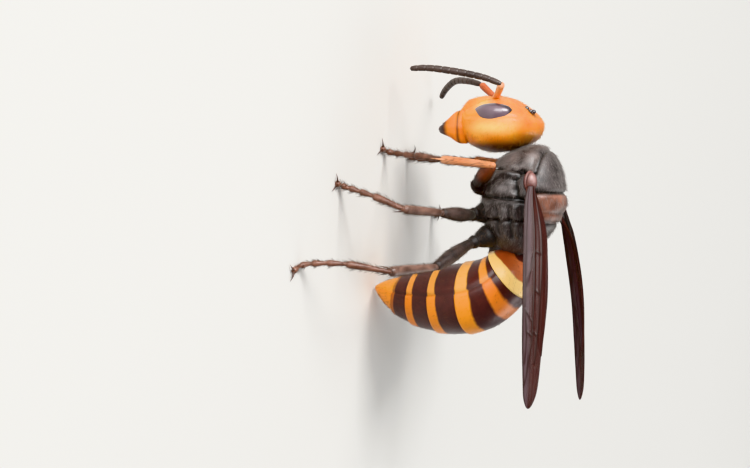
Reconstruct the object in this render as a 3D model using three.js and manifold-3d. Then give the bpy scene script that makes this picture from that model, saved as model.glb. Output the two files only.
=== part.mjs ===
// Asian giant hornet worker, life size, standing with its abdomen curled down and its wings folded back.
// Millimetres, +Z up. The head points to -Y, the insect's left is +X, and the origin is on the floor
// under the middle of the whole insect.
//
// Most points are given in the body's own directions: x to the left, b back along the thorax, z to its
// back, with 0, 0, 0 at the centre of the thorax. The body leans head down in the stance.
import * as THREE from "three";
import { mergeVertices } from "three/addons/utils/BufferGeometryUtils.js";
import Module from "manifold-3d";

const wasm = await Module();
wasm.setup();

// Driving dimensions, in millimetres
const GAP = 0.3; // air between two pieces that meet
const LEAN = THREE.MathUtils.degToRad(10); // how far the body leans head down
const THORAX_UP = 14.64; // centre of the thorax above the floor
const THORAX_LENGTH = 12.1;
const THORAX_FRONT = -6.3;
const HEAD_WIDTH = 9.2;
const HEAD_TOP = 2.6;
const HEAD_LOW = -6.2;
const HEAD_MIDDLE = -7.9; // how far ahead of the thorax's centre the head's middle is
const COLLAR_END = -2.7; // where the collar's side meets the wing root
const SCUTELLUM_FRONT = -0.7;
const PROPODEUM_FRONT = 2.4;
const SEAM_UP = 3.0; // height of the seams at the wing root over the thorax's centre
const GASTER_WIDER = 1.15; // width of the abdomen to its depth
const FOREWING_LENGTH = 23;
const WING_THICK = 0.5;
const RIGHT_WINGS_UP = 0.035; // radians by which the right wings are held higher than the left ones
const SPUR_LENGTH = 1.3;
const CLAW_SPREAD = 0.95; // from the middle of the foot to each claw's point
const FOOT_LIFT = 0.27; // middle of the last tarsal joint above the floor

const hornet = new THREE.Group();
const stance = new THREE.Matrix4().makeRotationX(LEAN).setPosition(0, 0, THORAX_UP);

function finish(color, roughness) {
  return new THREE.MeshStandardMaterial({ color, roughness, metalness: 0 });
}

const orangeShell = finish("#ee9c33", 0.35);
const darkShell = finish("#2b201f", 0.4);
const bandedShell = finish("#55302a", 0.35);
const brownShell = finish("#4a2c22", 0.45);
const rustShell = finish("#8a4a22", 0.45);
const eyeShell = finish("#3a2426", 0.15);
const wingMembrane = finish("#6b4a3c", 0.3);

// A smooth function through pairs of share and value.
function along(...pairs) {
  const shares = pairs.map((pair) => pair[0]);
  const values = pairs.map((pair) => pair[1]);
  const curve = new THREE.CubicInterpolant(shares, values, 1);
  return (share) => curve.evaluate(share)[0];
}

function at(x, b, z) {
  return new THREE.Vector3(x, b, z);
}

function through(...points) {
  return new THREE.CatmullRomCurve3(points, false, "centripetal");
}

function even(share) {
  return share;
}

// Rings lie closer together near both ends, where the form rounds over.
function closerAtEnds(share) {
  return (1 - Math.cos(Math.PI * share)) / 2;
}

// The two directions across a spine at a share of its length: its width, and up from it. tilt leans
// the plane that they span, about the width.
function acrossSpine(spine, share, side, tilt = 0) {
  const tangent = spine.getTangentAt(share).applyAxisAngle(side, tilt);
  const width = side.clone().addScaledVector(tangent, -side.dot(tangent)).normalize();
  return { tangent, width, up: width.clone().cross(tangent) };
}

// A closed form swept along a spine. wide, over and under are functions of the share of its length: the
// half width, and the reach on the upper and the lower side. square is 2 for round sections. stations,
// where given, are the shares of the length at which its rings stand, and tilt is how far they lean.
function sweep(form) {
  const { spine, side, wide, over, under = over, sides = 12, steps = 10 } = form;
  const { square = 2, spread = even, from = 0, to = 1, grow = 0, stations, tilt = () => 0 } = form;
  const rings = stations ? stations.length - 1 : steps;
  const shape = new THREE.CylinderGeometry(1, 1, 1, sides, rings);
  const points = shape.getAttribute("position");
  const point = new THREE.Vector3();
  for (let i = 0; i < points.count; i++) {
    point.fromBufferAttribute(points, i);
    const step = point.y + 0.5;
    const share = stations ? stations[Math.round(step * rings)] : from + (to - from) * spread(step);
    const { width, up } = acrossSpine(spine, share, side, tilt(share));
    const onRim = Math.hypot(point.x, point.z) > 0.5;
    const rim = onRim ? (Math.abs(point.x) ** square + Math.abs(point.z) ** square) ** (-1 / square) : 0;
    const reach = point.z > 0 ? over(share) : under(share);
    const out = rim * point.x * (wide(share) + grow);
    const rise = rim * point.z * (reach + grow);
    point.copy(spine.getPointAt(share)).addScaledVector(width, out).addScaledVector(up, rise);
    points.setXYZ(i, point.x, point.y, point.z);
  }
  return shape;
}

// The same form with each side of its box moved out by the gap.
function grown(geometry) {
  const larger = geometry.clone();
  larger.computeBoundingBox();
  const middle = larger.boundingBox.getCenter(new THREE.Vector3());
  const size = larger.boundingBox.getSize(new THREE.Vector3());
  larger.translate(-middle.x, -middle.y, -middle.z);
  larger.scale(1 + (2 * GAP) / size.x, 1 + (2 * GAP) / size.y, 1 + (2 * GAP) / size.z);
  return larger.translate(middle.x, middle.y, middle.z);
}

// The right-hand copy of a form made on the left.
function mirrored(geometry) {
  const copy = geometry.clone().scale(-1, 1, 1);
  const corners = copy.index.array;
  for (let i = 0; i < corners.length; i += 3) {
    [corners[i + 1], corners[i + 2]] = [corners[i + 2], corners[i + 1]];
  }
  return copy;
}

// A closed geometry as a solid that can be joined and cut.
function solid(geometry) {
  const bare = geometry.clone();
  bare.deleteAttribute("normal");
  bare.deleteAttribute("uv");
  const merged = mergeVertices(bare, 1e-4);
  const vertProperties = new Float32Array(merged.attributes.position.array);
  const triVerts = new Uint32Array(merged.index.array);
  return new wasm.Manifold(new wasm.Mesh({ numProp: 3, vertProperties, triVerts }));
}

// A form in the body's directions, leaned into the stance.
function leaned(geometry) {
  return solid(geometry.clone().applyMatrix4(stance));
}

// Adds a node. Only its largest closed surface is kept.
function addNode(name, material, body) {
  const pieces = body.decompose().sort((a, b) => b.volume() - a.volume());
  const mesh = pieces[0].getMesh();
  const geometry = new THREE.BufferGeometry();
  geometry.setAttribute("position", new THREE.BufferAttribute(mesh.vertProperties, 3));
  geometry.setIndex(new THREE.BufferAttribute(mesh.triVerts, 1));
  geometry.computeVertexNormals();
  const node = new THREE.Mesh(geometry, material);
  node.name = name;
  hornet.add(node);
}

const LEFTWARDS = at(1, 0, 0);

// Thorax: one egg-shaped form, parted into its four rings by thin cuts.
function thoraxForm() {
  const b = (share) => THORAX_FRONT + 1.1 + share * (THORAX_LENGTH - 1.1);
  const spine = through(at(0, b(0), 0.3), at(0, b(0.5), 0.4), at(0, b(1), -0.1));
  const form = sweep({
    spine,
    side: LEFTWARDS,
    wide: along([0, 1.3], [0.05, 2.5], [0.2, 3.7], [0.4, 4.2], [0.6, 4.1], [0.8, 3.3], [0.94, 2.1], [1, 0.8]),
    over: along([0, 1.4], [0.05, 2.7], [0.2, 4.0], [0.42, 4.65], [0.6, 4.4], [0.8, 3.0], [0.94, 1.6], [1, 0.5]),
    under: along([0, 1.3], [0.05, 2.4], [0.2, 3.5], [0.42, 4.1], [0.6, 4.1], [0.8, 3.3], [0.94, 2.0], [1, 0.7]),
    sides: 24,
    steps: 16,
    square: 2.2,
    spread: closerAtEnds,
  });
  // The front of the thorax leans over the neck, higher up further forward.
  const points = form.getAttribute("position");
  for (let i = 0; i < points.count; i++) {
    const share = (points.getY(i) - b(0)) / (THORAX_LENGTH - 1.1);
    points.setY(i, points.getY(i) - 0.32 * points.getZ(i) * (1 - share) ** 2);
  }
  return form;
}

// A thin sheet of air right across the body, from one place to the other as seen from the side.
function sheetCut(fromB, fromZ, toB, toZ) {
  const run = Math.hypot(toB - fromB, toZ - fromZ);
  const sheet = new THREE.BoxGeometry(30, run + GAP, GAP);
  sheet.rotateX(Math.atan2(toZ - fromZ, toB - fromB));
  return leaned(sheet.translate(0, (fromB + toB) / 2, (fromZ + toZ) / 2));
}

const thorax = thoraxForm();
const thoraxAir = leaned(grown(thorax));

// The collar reaches back along the sides to the wing roots, and the scutellum is the hump behind them.
function addThorax() {
  const cuts = [
    sheetCut(-7.2, SEAM_UP + 0.75, COLLAR_END, SEAM_UP),
    sheetCut(COLLAR_END, SEAM_UP, -3.9, -5.5),
    sheetCut(SCUTELLUM_FRONT, 6.5, SCUTELLUM_FRONT, SEAM_UP),
    sheetCut(SCUTELLUM_FRONT, SEAM_UP, PROPODEUM_FRONT, SEAM_UP - 0.4),
    sheetCut(PROPODEUM_FRONT + 0.3, 6.5, PROPODEUM_FRONT, SEAM_UP - 0.4),
    sheetCut(PROPODEUM_FRONT, SEAM_UP - 0.4, 1.8, -5.5),
  ];
  const parted = cuts.reduce((body, cut) => body.subtract(cut), leaned(thorax));
  const plates = parted.decompose().sort((a, b) => b.volume() - a.volume()).slice(0, 4);
  const mesothorax = plates.shift();
  plates.sort((a, b) => a.boundingBox().min[1] - b.boundingBox().min[1]);
  addNode("pronotum", darkShell, plates[0]);
  addNode("mesothorax", darkShell, mesothorax);
  addNode("scutellum", rustShell, plates[1]);
  addNode("propodeum", darkShell, plates[2]);
}

// Head: broad, with its face to the front and the jaws at its lower end.
function headForm() {
  const spine = through(at(0, HEAD_MIDDLE, HEAD_LOW), at(0, HEAD_MIDDLE, HEAD_TOP));
  const half = HEAD_WIDTH / 2;
  return sweep({
    spine,
    side: LEFTWARDS,
    wide: along([0, 1.5], [0.045, 2.3], [0.136, 3.3], [0.216, 3.8], [0.375, 4.4], [0.6, half],
      [0.73, 4.35], [0.86, 3.6], [0.96, 2.0], [1, 0.6]),
    over: along([0, 1.2], [0.045, 2.0], [0.136, 2.35], [0.216, 2.5], [0.375, 2.75], [0.6, 2.84],
      [0.73, 2.3], [0.86, 1.5], [0.96, 0.5], [1, 0.15]),
    under: along([0, 0.9], [0.045, 1.5], [0.136, 2.0], [0.216, 2.4], [0.375, 2.85], [0.6, 2.7],
      [0.73, 2.4], [0.86, 1.85], [0.96, 1.1], [1, 0.3]),
    sides: 24,
    steps: 14,
    square: 2.4,
    spread: closerAtEnds,
  });
}

function rounded(radius) {
  return (share) => radius * Math.sqrt(Math.max(0.02, 1 - (2 * share - 1) ** 2));
}

// Eye: a long bean set in the side of the face.
function eyeForm() {
  const spine = through(at(3.0, -9.05, 0.55), at(3.6, -9.1, -0.6), at(3.72, -9.15, -1.8), at(3.05, -9.35, -3.95));
  return sweep({
    spine,
    side: LEFTWARDS,
    wide: rounded(0.75),
    over: rounded(1.2),
    under: rounded(0.95),
    sides: 12,
    steps: 8,
    spread: closerAtEnds,
  });
}

// Jaw: a stout tooth that curves in to the middle under the face.
function mandibleForm() {
  const spine = through(at(2.3, -7.7, -5.0), at(2.4, -7.6, -6.4), at(1.7, -7.5, -7.6), at(0.35, -7.4, -8.4));
  return sweep({
    spine,
    side: LEFTWARDS,
    wide: along([0, 0.9], [0.3, 0.95], [0.6, 0.7], [0.85, 0.4], [1, 0.15]),
    over: along([0, 1.6], [0.2, 1.5], [0.4, 1.0], [0.7, 0.5], [1, 0.15]),
    sides: 12,
    steps: 8,
  });
}

// Clypeus: the broad shield on the lower face.
function clypeusForm() {
  const shield = new THREE.SphereGeometry(1, 14, 9);
  return shield.scale(2.3, 0.75, 1.75).rotateX(-0.2).translate(0, -10.0, -4.35);
}

// Ocelli: three bead eyes in a triangle on the crown.
function ocelliForms() {
  const places = [at(0, -9.55, 1.0), at(0.5, -9.1, 1.6), at(-0.5, -9.1, 1.6)];
  return places.map((place) => new THREE.SphereGeometry(0.3, 7, 5).translate(place.x, place.y, place.z));
}

// Two blunt teeth on the inner edge of a jaw, pointing to the other jaw.
function mandibleTeeth() {
  const places = [at(0.95, -7.25, -7.45), at(1.1, -7.8, -7.3)];
  return places.map((place) => {
    const tooth = new THREE.ConeGeometry(0.3, 0.9, 6).rotateZ(Math.PI / 2);
    return tooth.translate(place.x, place.y, place.z);
  });
}

const head = headForm();
const eye = eyeForm();
const mandible = mandibleForm();
const teeth = mandibleTeeth();
const headAir = leaned(grown(head));

function jaw(turned) {
  const blade = leaned(turned(mandible));
  return teeth.reduce((body, tooth) => body.add(leaned(turned(tooth))), blade).subtract(headAir);
}

function addHead() {
  const sockets = [leaned(grown(eye)), leaned(grown(mirrored(eye)))];
  const raised = [clypeusForm(), ...ocelliForms()];
  const whole = raised.reduce((body, form) => body.add(leaned(form)), leaned(head)).subtract(thoraxAir);
  addNode("head", orangeShell, sockets.reduce((body, socket) => body.subtract(socket), whole));
  addNode("eye_left", eyeShell, leaned(eye).subtract(thoraxAir));
  addNode("eye_right", eyeShell, leaned(mirrored(eye)).subtract(thoraxAir));
  addNode("mandible_left", orangeShell, jaw((geometry) => geometry));
  addNode("mandible_right", orangeShell, jaw(mirrored));
}

// Stations for a chain of joints: a waist where two meet, and a full ring on either side of it.
const WAIST_HALF = 0.012;

function jointStations(ends) {
  return [0, ...ends.flatMap((end) => [end - WAIST_HALF, end, end + WAIST_HALF]), 1];
}

function isWaist(share, ends) {
  return ends.some((end) => Math.abs(share - end) < WAIST_HALF / 2);
}

const WHIP_JOINTS = Array.from({ length: 10 }, (_, i) => 0.13 + 0.087 * i);

// Antenna: a stiff first joint, the scape, and the whip of eleven short joints that it carries.
function addAntenna(sideName, socket, elbow, whip) {
  const scapeSpine = through(socket, elbow);
  const scape = leaned(sweep({
    spine: scapeSpine,
    side: LEFTWARDS,
    wide: along([0, 0.27], [0.3, 0.33], [0.9, 0.38], [1, 0.25]),
    over: along([0, 0.27], [0.3, 0.33], [0.9, 0.38], [1, 0.25]),
    sides: 10,
    steps: 6,
  }));
  addNode("scape_" + sideName, rustShell, scape.subtract(headAir));
  const outward = whip[0].clone().sub(elbow).normalize();
  const start = elbow.clone().addScaledVector(outward, GAP + 0.1);
  const thick = along([0, 0.27], [0.1, 0.34], [0.5, 0.38], [0.9, 0.33], [1, 0.26]);
  const jointed = (share) => thick(share) - (isWaist(share, WHIP_JOINTS) ? 0.06 : 0);
  const flagellum = sweep({
    spine: through(start, ...whip),
    side: LEFTWARDS,
    wide: jointed,
    over: jointed,
    sides: 8,
    stations: jointStations(WHIP_JOINTS),
  });
  addNode("flagellum_" + sideName, brownShell, leaned(flagellum));
}

function addAntennae() {
  addAntenna("left", at(1.2, -9.6, -2.1), at(4.1, -12.0, -0.4), [
    at(4.3, -12.63, -2.0),
    at(4.5, -13.05, -3.63),
    at(4.8, -13.47, -5.78),
    at(5.2, -13.8, -8.4),
    at(5.4, -13.75, -10.1),
  ]);
  addAntenna("right", at(-1.2, -9.6, -2.3), at(-3.0, -12.4, -5.2), [
    at(-4.0, -12.84, -7.06),
    at(-5.4, -12.95, -9.0),
    at(-6.7, -12.4, -10.4),
    at(-7.6, -11.8, -11.25),
    at(-8.1, -11.3, -11.7),
  ]);
}

// Abdomen: six rings on one spine that curls down and forward, the last one ending in a point.
const GASTER_SPINE = through(
  at(0, 5.2, -0.1),
  at(0, 7.9, -1.1),
  at(0, 9.7, -3.4),
  at(0, 10.4, -7.15),
  at(0, 10.4, -10.2),
  at(0, 10.1, -12.8),
  at(0, 9.3, -16.1),
);
const GASTER_RING_ENDS = [0, 0.15, 0.425, 0.6, 0.745, 0.85, 1];
const gasterDepth = along([0, 0.6], [0.04, 1.5], [0.09, 2.6], [0.16, 3.15], [0.3, 3.7], [0.43, 3.85],
  [0.52, 3.75], [0.675, 3.25], [0.8, 2.5], [0.9, 1.6], [0.96, 0.9], [1, 0.25]);
const gasterTilt = along([0, -0.3], [0.15, -0.32], [0.28, -0.28], [0.42, -0.1], [0.6, 0], [1, 0]);
const RING_FLARE = 0.16; // how far the hind edge of each ring stands over the front of the next

function gasterRing(index) {
  const from = GASTER_RING_ENDS[index];
  const to = GASTER_RING_ENDS[index + 1];
  const last = index === GASTER_RING_ENDS.length - 2;
  const flare = (share) => (last ? 0 : RING_FLARE * ((share - from) / (to - from)) ** 2);
  return sweep({
    spine: GASTER_SPINE,
    side: LEFTWARDS,
    wide: (share) => GASTER_WIDER * gasterDepth(share) + flare(share),
    over: (share) => gasterDepth(share) + flare(share),
    under: (share) => 0.94 * gasterDepth(share) + flare(share),
    tilt: gasterTilt,
    sides: 24,
    steps: index === 1 ? 8 : 4,
    from,
    to,
  });
}

// A thin sheet of air across the abdomen's spine.
function ringCut(share) {
  const { tangent, width, up } = acrossSpine(GASTER_SPINE, share, LEFTWARDS, gasterTilt(share));
  const turn = new THREE.Matrix4().makeBasis(width, tangent, up);
  const sheet = new THREE.BoxGeometry(20, GAP, 9).applyMatrix4(turn);
  const middle = GASTER_SPINE.getPointAt(share);
  return leaned(sheet.translate(middle.x, middle.y, middle.z));
}

function addGaster() {
  for (let index = 0; index < GASTER_RING_ENDS.length - 1; index++) {
    let ring = leaned(gasterRing(index));
    if (index === 0) ring = ring.subtract(thoraxAir);
    if (index > 0) ring = ring.subtract(ringCut(GASTER_RING_ENDS[index]));
    if (index < GASTER_RING_ENDS.length - 2) ring = ring.subtract(ringCut(GASTER_RING_ENDS[index + 1]));
    addNode("gaster_" + (index + 1), bandedShell, ring);
  }
}

// Wings: long folded strips that slope up to the middle, the hind wing under the inner edge of the fore
// wing. A point of a wing is given by its share of the length, its share of the width and its height.
// The main veins are ridges of the membrane, along it and across it.
const VEIN_RISE = 0.14;
const VEIN_HALF = 0.05; // half the width of a vein in shares of the wing's width
const CROSS_HALF = 0.01; // the same for a cross vein in shares of the wing's length
const wingSlope = along([0, 0.35], [0.25, 0.8], [1, 0.86]);

function wingForm(wing) {
  const { leadingEdge, width, drop = 0, inset = 0, veins, crossVeins, steps } = wing;
  const columns = [0, ...veins.flatMap((vein) => [vein - VEIN_HALF, vein, vein + VEIN_HALF]), 1];
  const plain = Array.from({ length: steps + 1 }, (_, i) => i / steps);
  const near = (share) => crossVeins.some((cross) => Math.abs(share - cross.at) < 2.5 * CROSS_HALF);
  const crossRows = crossVeins.flatMap((cross) => [cross.at - CROSS_HALF, cross.at, cross.at + CROSS_HALF]);
  const rows = [...plain.filter((share) => !near(share)), ...crossRows].sort((a, b) => a - b);
  const isCross = (share, column) => crossVeins.some((cross) => Math.abs(share - cross.at) < CROSS_HALF / 2
    && column >= cross.from - 0.001 && column <= cross.to + 0.001);
  const section = new THREE.Shape();
  section.moveTo(0, -1);
  columns.slice(1).forEach((column) => section.lineTo(column, -1));
  [...columns].reverse().forEach((column) => section.lineTo(column, 1));
  const strip = new THREE.ExtrudeGeometry(section, { depth: 1, steps: rows.length - 1, bevelEnabled: false });
  const points = strip.getAttribute("position");
  const point = new THREE.Vector3();
  for (let i = 0; i < points.count; i++) {
    const share = rows[Math.round(points.getZ(i) * (rows.length - 1))];
    const column = points.getX(i);
    const slope = wingSlope(share);
    const inward = at(-Math.cos(slope), 0, Math.sin(slope));
    const up = at(Math.sin(slope), 0, Math.cos(slope));
    const onVein = veins.some((vein) => Math.abs(column - vein) < 0.001) && share > 0.02 && share < 0.98;
    const rise = WING_THICK / 2 + (onVein || isCross(share, column) ? VEIN_RISE : 0);
    const arch = 0.3 * Math.sin(Math.PI * column) - drop;
    point.copy(leadingEdge.getPointAt(share));
    point.addScaledVector(inward, inset + column * width(share));
    point.addScaledVector(up, Math.sign(points.getY(i)) * rise + arch);
    points.setXYZ(i, point.x, point.y, point.z);
  }
  return mergeVertices(strip.deleteAttribute("normal").deleteAttribute("uv"), 1e-4);
}

function foreWing() {
  return wingForm({
    leadingEdge: through(at(4.4, -1.4, 2.75), at(5.2, 0, 2.7), at(6.4, 5.3, 2.95), at(7.3, 10.5, 3.18),
      at(7.6, 14.7, 3.25), at(7.65, -1.4 + FOREWING_LENGTH, 3.4)),
    width: along([0, 1.0], [0.08, 2.0], [0.2, 2.65], [0.35, 2.8], [0.52, 2.65], [0.74, 2.2], [0.9, 1.75],
      [0.97, 1.2], [1, 0.6]),
    veins: [0.08, 0.4, 0.72],
    crossVeins: [{ at: 0.3, from: 0.4, to: 0.72 }, { at: 0.47, from: 0.08, to: 0.4 },
      { at: 0.56, from: 0.4, to: 0.72 }, { at: 0.66, from: 0.08, to: 0.4 }, { at: 0.8, from: 0.08, to: 0.72 }],
    steps: 14,
  });
}

function hindWing() {
  return wingForm({
    leadingEdge: through(at(4.4, 0.8, 2.75), at(6.4, 5.3, 2.95), at(7.3, 10.5, 3.18), at(7.5, 14.2, 3.4),
      at(7.2, 16.2, 3.6)),
    width: along([0, 0.6], [0.15, 1.1], [0.3, 1.4], [0.6, 1.45], [0.8, 1.1], [0.95, 0.7], [1, 0.4]),
    drop: 1.15,
    inset: 1.3,
    veins: [0.1, 0.5],
    crossVeins: [{ at: 0.5, from: 0.1, to: 0.5 }],
    steps: 10,
  });
}

// Tegula: the small scale over the root of the fore wing.
function tegulaForm() {
  const scale = new THREE.SphereGeometry(1, 14, 10);
  return scale.scale(0.75, 1.1, 0.75).rotateY(0.5).translate(3.8, -1.8, 2.65);
}

function addWings() {
  const wings = { forewing: foreWing(), hindwing: hindWing() };
  const tegula = tegulaForm();
  const liftedRight = (geometry) => mirrored(geometry).rotateX(RIGHT_WINGS_UP);
  for (const sideName of ["left", "right"]) {
    const turned = sideName === "left" ? (geometry) => geometry : mirrored;
    const held = sideName === "left" ? turned : liftedRight;
    addNode("tegula_" + sideName, rustShell, leaned(turned(tegula)).subtract(thoraxAir));
    const air = thoraxAir.add(leaned(grown(turned(tegula))));
    for (const [name, wing] of Object.entries(wings)) {
      addNode(name + "_" + sideName, wingMembrane, leaned(held(wing)).subtract(air));
    }
  }
}

// Legs: the thigh with the two short joints at its root, the shin, and the foot that ends on the floor.
function toWorld(point) {
  return point.clone().applyMatrix4(stance);
}

// A radius that rounds over at both ends of a piece of this length.
function roundedEnds(radius, length) {
  return (share) => {
    const fromEnd = Math.min(share, 1 - share) * length;
    const full = radius(share);
    const inset = 1 - Math.min(1, fromEnd / full);
    return full * Math.sqrt(Math.max(0.06, 1 - inset ** 2));
  };
}

const BACKWARDS = at(0, 1, 0);
const floorSlab = solid(new THREE.BoxGeometry(120, 120, 10).translate(0, 0, -5));

function legPiece(spine, radius, rings, grow) {
  const round = roundedEnds(radius, spine.getLength());
  const form = { spine, side: BACKWARDS, wide: round, over: round, sides: 8, grow, spread: closerAtEnds };
  return solid(sweep({ ...form, ...rings }));
}

// A thin cone along a curve, as for spurs and claws.
function hook(points, radius) {
  const taper = (share) => radius * (1 - 0.8 * share);
  return solid(sweep({ spine: through(...points), side: BACKWARDS, wide: taper, over: taper, sides: 5, steps: 3 }));
}

// Spurs at the shin's end, set back from it and splayed clear of the foot.
function spurs(knee, ankle, count) {
  const down = ankle.clone().sub(knee).normalize();
  const rear = BACKWARDS.clone().addScaledVector(down, -down.y).normalize();
  const inner = down.clone().cross(rear).normalize();
  if (inner.z > 0) inner.negate();
  return Array.from({ length: count }, (_, i) => {
    const aside = inner.clone().addScaledVector(rear, count === 1 ? 0 : i - 0.5).normalize();
    const root = ankle.clone().addScaledVector(down, -0.75).addScaledVector(aside, 0.15);
    const bend = root.clone().addScaledVector(down, 0.45).addScaledVector(aside, 0.5);
    const tip = root.clone().addScaledVector(down, SPUR_LENGTH).addScaledVector(aside, 0.95);
    return hook([root, bend, tip], 0.17);
  });
}

// Two claws that part at the foot's tip and hook down to the floor.
function claws(foot) {
  const [before, tip] = foot.slice(-2);
  const ahead = tip.clone().sub(before).setZ(0).normalize();
  const aside = at(-ahead.y, ahead.x, 0);
  return [-1, 1].map((way) => {
    const root = tip.clone().addScaledVector(ahead, -0.35);
    const bend = tip.clone().addScaledVector(ahead, 0.3).addScaledVector(aside, way * 0.5);
    const point = tip.clone().addScaledVector(ahead, 0.45).addScaledVector(aside, way * CLAW_SPREAD);
    return hook([root, bend.setZ(0.32), point.setZ(0.1)], 0.2);
  });
}

// The foot's five joints: the first takes nearly half of its length, and each widens to its far end.
const FOOT_JOINTS = [0.42, 0.6, 0.74, 0.85];

function footThick(share) {
  const end = FOOT_JOINTS.find((joint) => share <= joint + WAIST_HALF / 2) ?? 1.1;
  if (isWaist(share, FOOT_JOINTS)) return 0.25;
  return share < 0.3 ? 0.33 : 0.29 + 0.04 * (share > end - 0.03);
}

function shortened(from, to, gap) {
  return from.clone().add(to.clone().sub(from).setLength(gap));
}

function addLeg(name, leg) {
  const root = leg.root.map(toWorld);
  const knee = toWorld(leg.knee);
  const ankle = toWorld(leg.ankle);
  const thighSpine = through(...root, knee);
  const thigh = legPiece(thighSpine, leg.thigh, { steps: 12 }, 0);
  const thighAir = legPiece(thighSpine, leg.thigh, { steps: 12 }, GAP);
  addNode(name + "_femur", leg.material, thigh.subtract(thoraxAir));
  const shinSpine = through(shortened(knee, ankle, GAP), shortened(ankle, knee, GAP / 2));
  const shin = legPiece(shinSpine, leg.shin, { steps: 8 }, 0);
  const shinAir = legPiece(shinSpine, leg.shin, { steps: 8 }, GAP);
  const spurred = spurs(knee, ankle, leg.spurs).reduce((body, spur) => body.add(spur), shin);
  addNode(name + "_tibia", leg.material, spurred.subtract(thighAir));
  const footSpine = through(shortened(ankle, leg.foot[0], GAP / 2), ...leg.foot);
  const foot = legPiece(footSpine, footThick, { stations: jointStations(FOOT_JOINTS) }, 0);
  const clawed = claws(leg.foot).reduce((body, claw) => body.add(claw), foot);
  addNode(name + "_tarsus", leg.footMaterial, clawed.subtract(shinAir).subtract(floorSlab));
}

function legPair(name, shared, left, right) {
  addLeg(name + "_left", { ...shared, ...left });
  addLeg(name + "_right", { ...shared, ...right });
}

function addLegs() {
  legPair(
    "foreleg",
    {
      material: rustShell,
      footMaterial: brownShell,
      thigh: along([0, 1.15], [0.22, 1.1], [0.36, 0.62], [0.65, 0.75], [1, 0.5]),
      shin: along([0, 0.36], [0.5, 0.42], [1, 0.44]),
      spurs: 1,
    },
    {
      root: [at(1.7, -1.7, -2.2), at(2.5, -1.4, -3.6), at(4.2, -2.2, -2.6)],
      knee: at(7, -3.5, -0.35),
      ankle: at(5.5, -4.2, -6.6),
      foot: [at(4.6, -2.9, 5), at(3.7, -2.75, 2.6), at(3.2, -2.7, 0.7), at(3.7, -2.8, FOOT_LIFT),
        at(4.5, -3.05, FOOT_LIFT)],
    },
    {
      root: [at(-1.7, -1.7, -2.2), at(-2.5, -1.4, -3.6), at(-4.2, -2.3, -2.6)],
      knee: at(-6.9, -3.6, -0.6),
      ankle: at(-5.3, -4.4, -6.9),
      foot: [at(-4.6, -2.7, 4.9), at(-3.9, -2.4, 2.5), at(-3.5, -2.3, 0.7), at(-4.0, -2.4, FOOT_LIFT),
        at(-4.8, -2.6, FOOT_LIFT)],
    },
  );
  legPair(
    "midleg",
    {
      material: brownShell,
      footMaterial: brownShell,
      thigh: along([0, 1.2], [0.22, 1.15], [0.36, 0.6], [0.65, 0.72], [1, 0.48]),
      shin: along([0, 0.36], [0.5, 0.45], [1, 0.46]),
      spurs: 2,
    },
    {
      root: [at(1.7, 1.2, -2.2), at(2.6, 1.5, -3.8), at(4.2, 1.6, -4.0)],
      knee: at(8.5, 1.4, -5.4),
      ankle: at(13, 1.05, -7.9),
      foot: [at(13.4, 1.75, 4.4), at(13.6, 1.35, 1.9), at(13.8, 1.2, 0.7), at(14.3, 1.05, FOOT_LIFT),
        at(15.2, 0.9, FOOT_LIFT)],
    },
    {
      root: [at(-1.7, 1.2, -2.2), at(-2.6, 1.5, -3.8), at(-4.2, 1.7, -4.0)],
      knee: at(-8.5, 1.8, -5.4),
      ankle: at(-13, 1.9, -7.9),
      foot: [at(-13.4, 3.4, 4.4), at(-13.6, 3.7, 1.9), at(-13.8, 3.8, 0.7), at(-14.3, 3.85, FOOT_LIFT),
        at(-15.2, 3.8, FOOT_LIFT)],
    },
  );
  legPair(
    "hindleg",
    {
      material: brownShell,
      footMaterial: brownShell,
      thigh: along([0, 1.2], [0.22, 1.15], [0.36, 0.6], [0.7, 0.75], [1, 0.5]),
      shin: along([0, 0.36], [0.6, 0.5], [1, 0.54]),
      spurs: 2,
    },
    {
      root: [at(1.8, 3.4, -1.8), at(2.8, 4.2, -3.3), at(3.9, 4.6, -3.95)],
      knee: at(9.5, 7.0, -5.7),
      ankle: at(16.5, 7.4, -8.0),
      foot: [at(19, 8.58, 3.97), at(20.1, 8.9, 1.8), at(20.8, 9.2, 0.7), at(21.5, 9.5, FOOT_LIFT),
        at(22.7, 9.99, FOOT_LIFT)],
    },
    {
      root: [at(-1.8, 3.4, -1.8), at(-2.8, 4.2, -3.3), at(-3.9, 4.6, -3.95)],
      knee: at(-9.4, 7.3, -5.7),
      ankle: at(-16.2, 8.0, -8.1),
      foot: [at(-18.6, 9.5, 3.9), at(-19.7, 10.0, 1.8), at(-20.4, 10.3, 0.7), at(-21.1, 10.7, FOOT_LIFT),
        at(-22.2, 11.3, FOOT_LIFT)],
    },
  );
}

addHead();
addAntennae();
addThorax();
addGaster();
addWings();
addLegs();

// The origin goes to the floor under the middle of the whole insect.
const bounds = new THREE.Box3().setFromObject(hornet, true);
const middle = bounds.getCenter(new THREE.Vector3());
hornet.position.set(-middle.x, -middle.y, -bounds.min.z);

const group = new THREE.Group();
group.add(hornet);
export default group;
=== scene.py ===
"""Asian giant hornet worker, life size, as a museum model would show it.

Blender's metres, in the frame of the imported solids: the head points to -Y, the insect's left is +X and
the floor is at Z = 0. Most sizes are in millimetres in the body's own directions: x to the left, b back
along the thorax, z to its back.
"""

import math
import random

import bmesh
import bpy
import numpy
from mathutils import Matrix, Vector
from mathutils.geometry import interpolate_bezier


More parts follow.
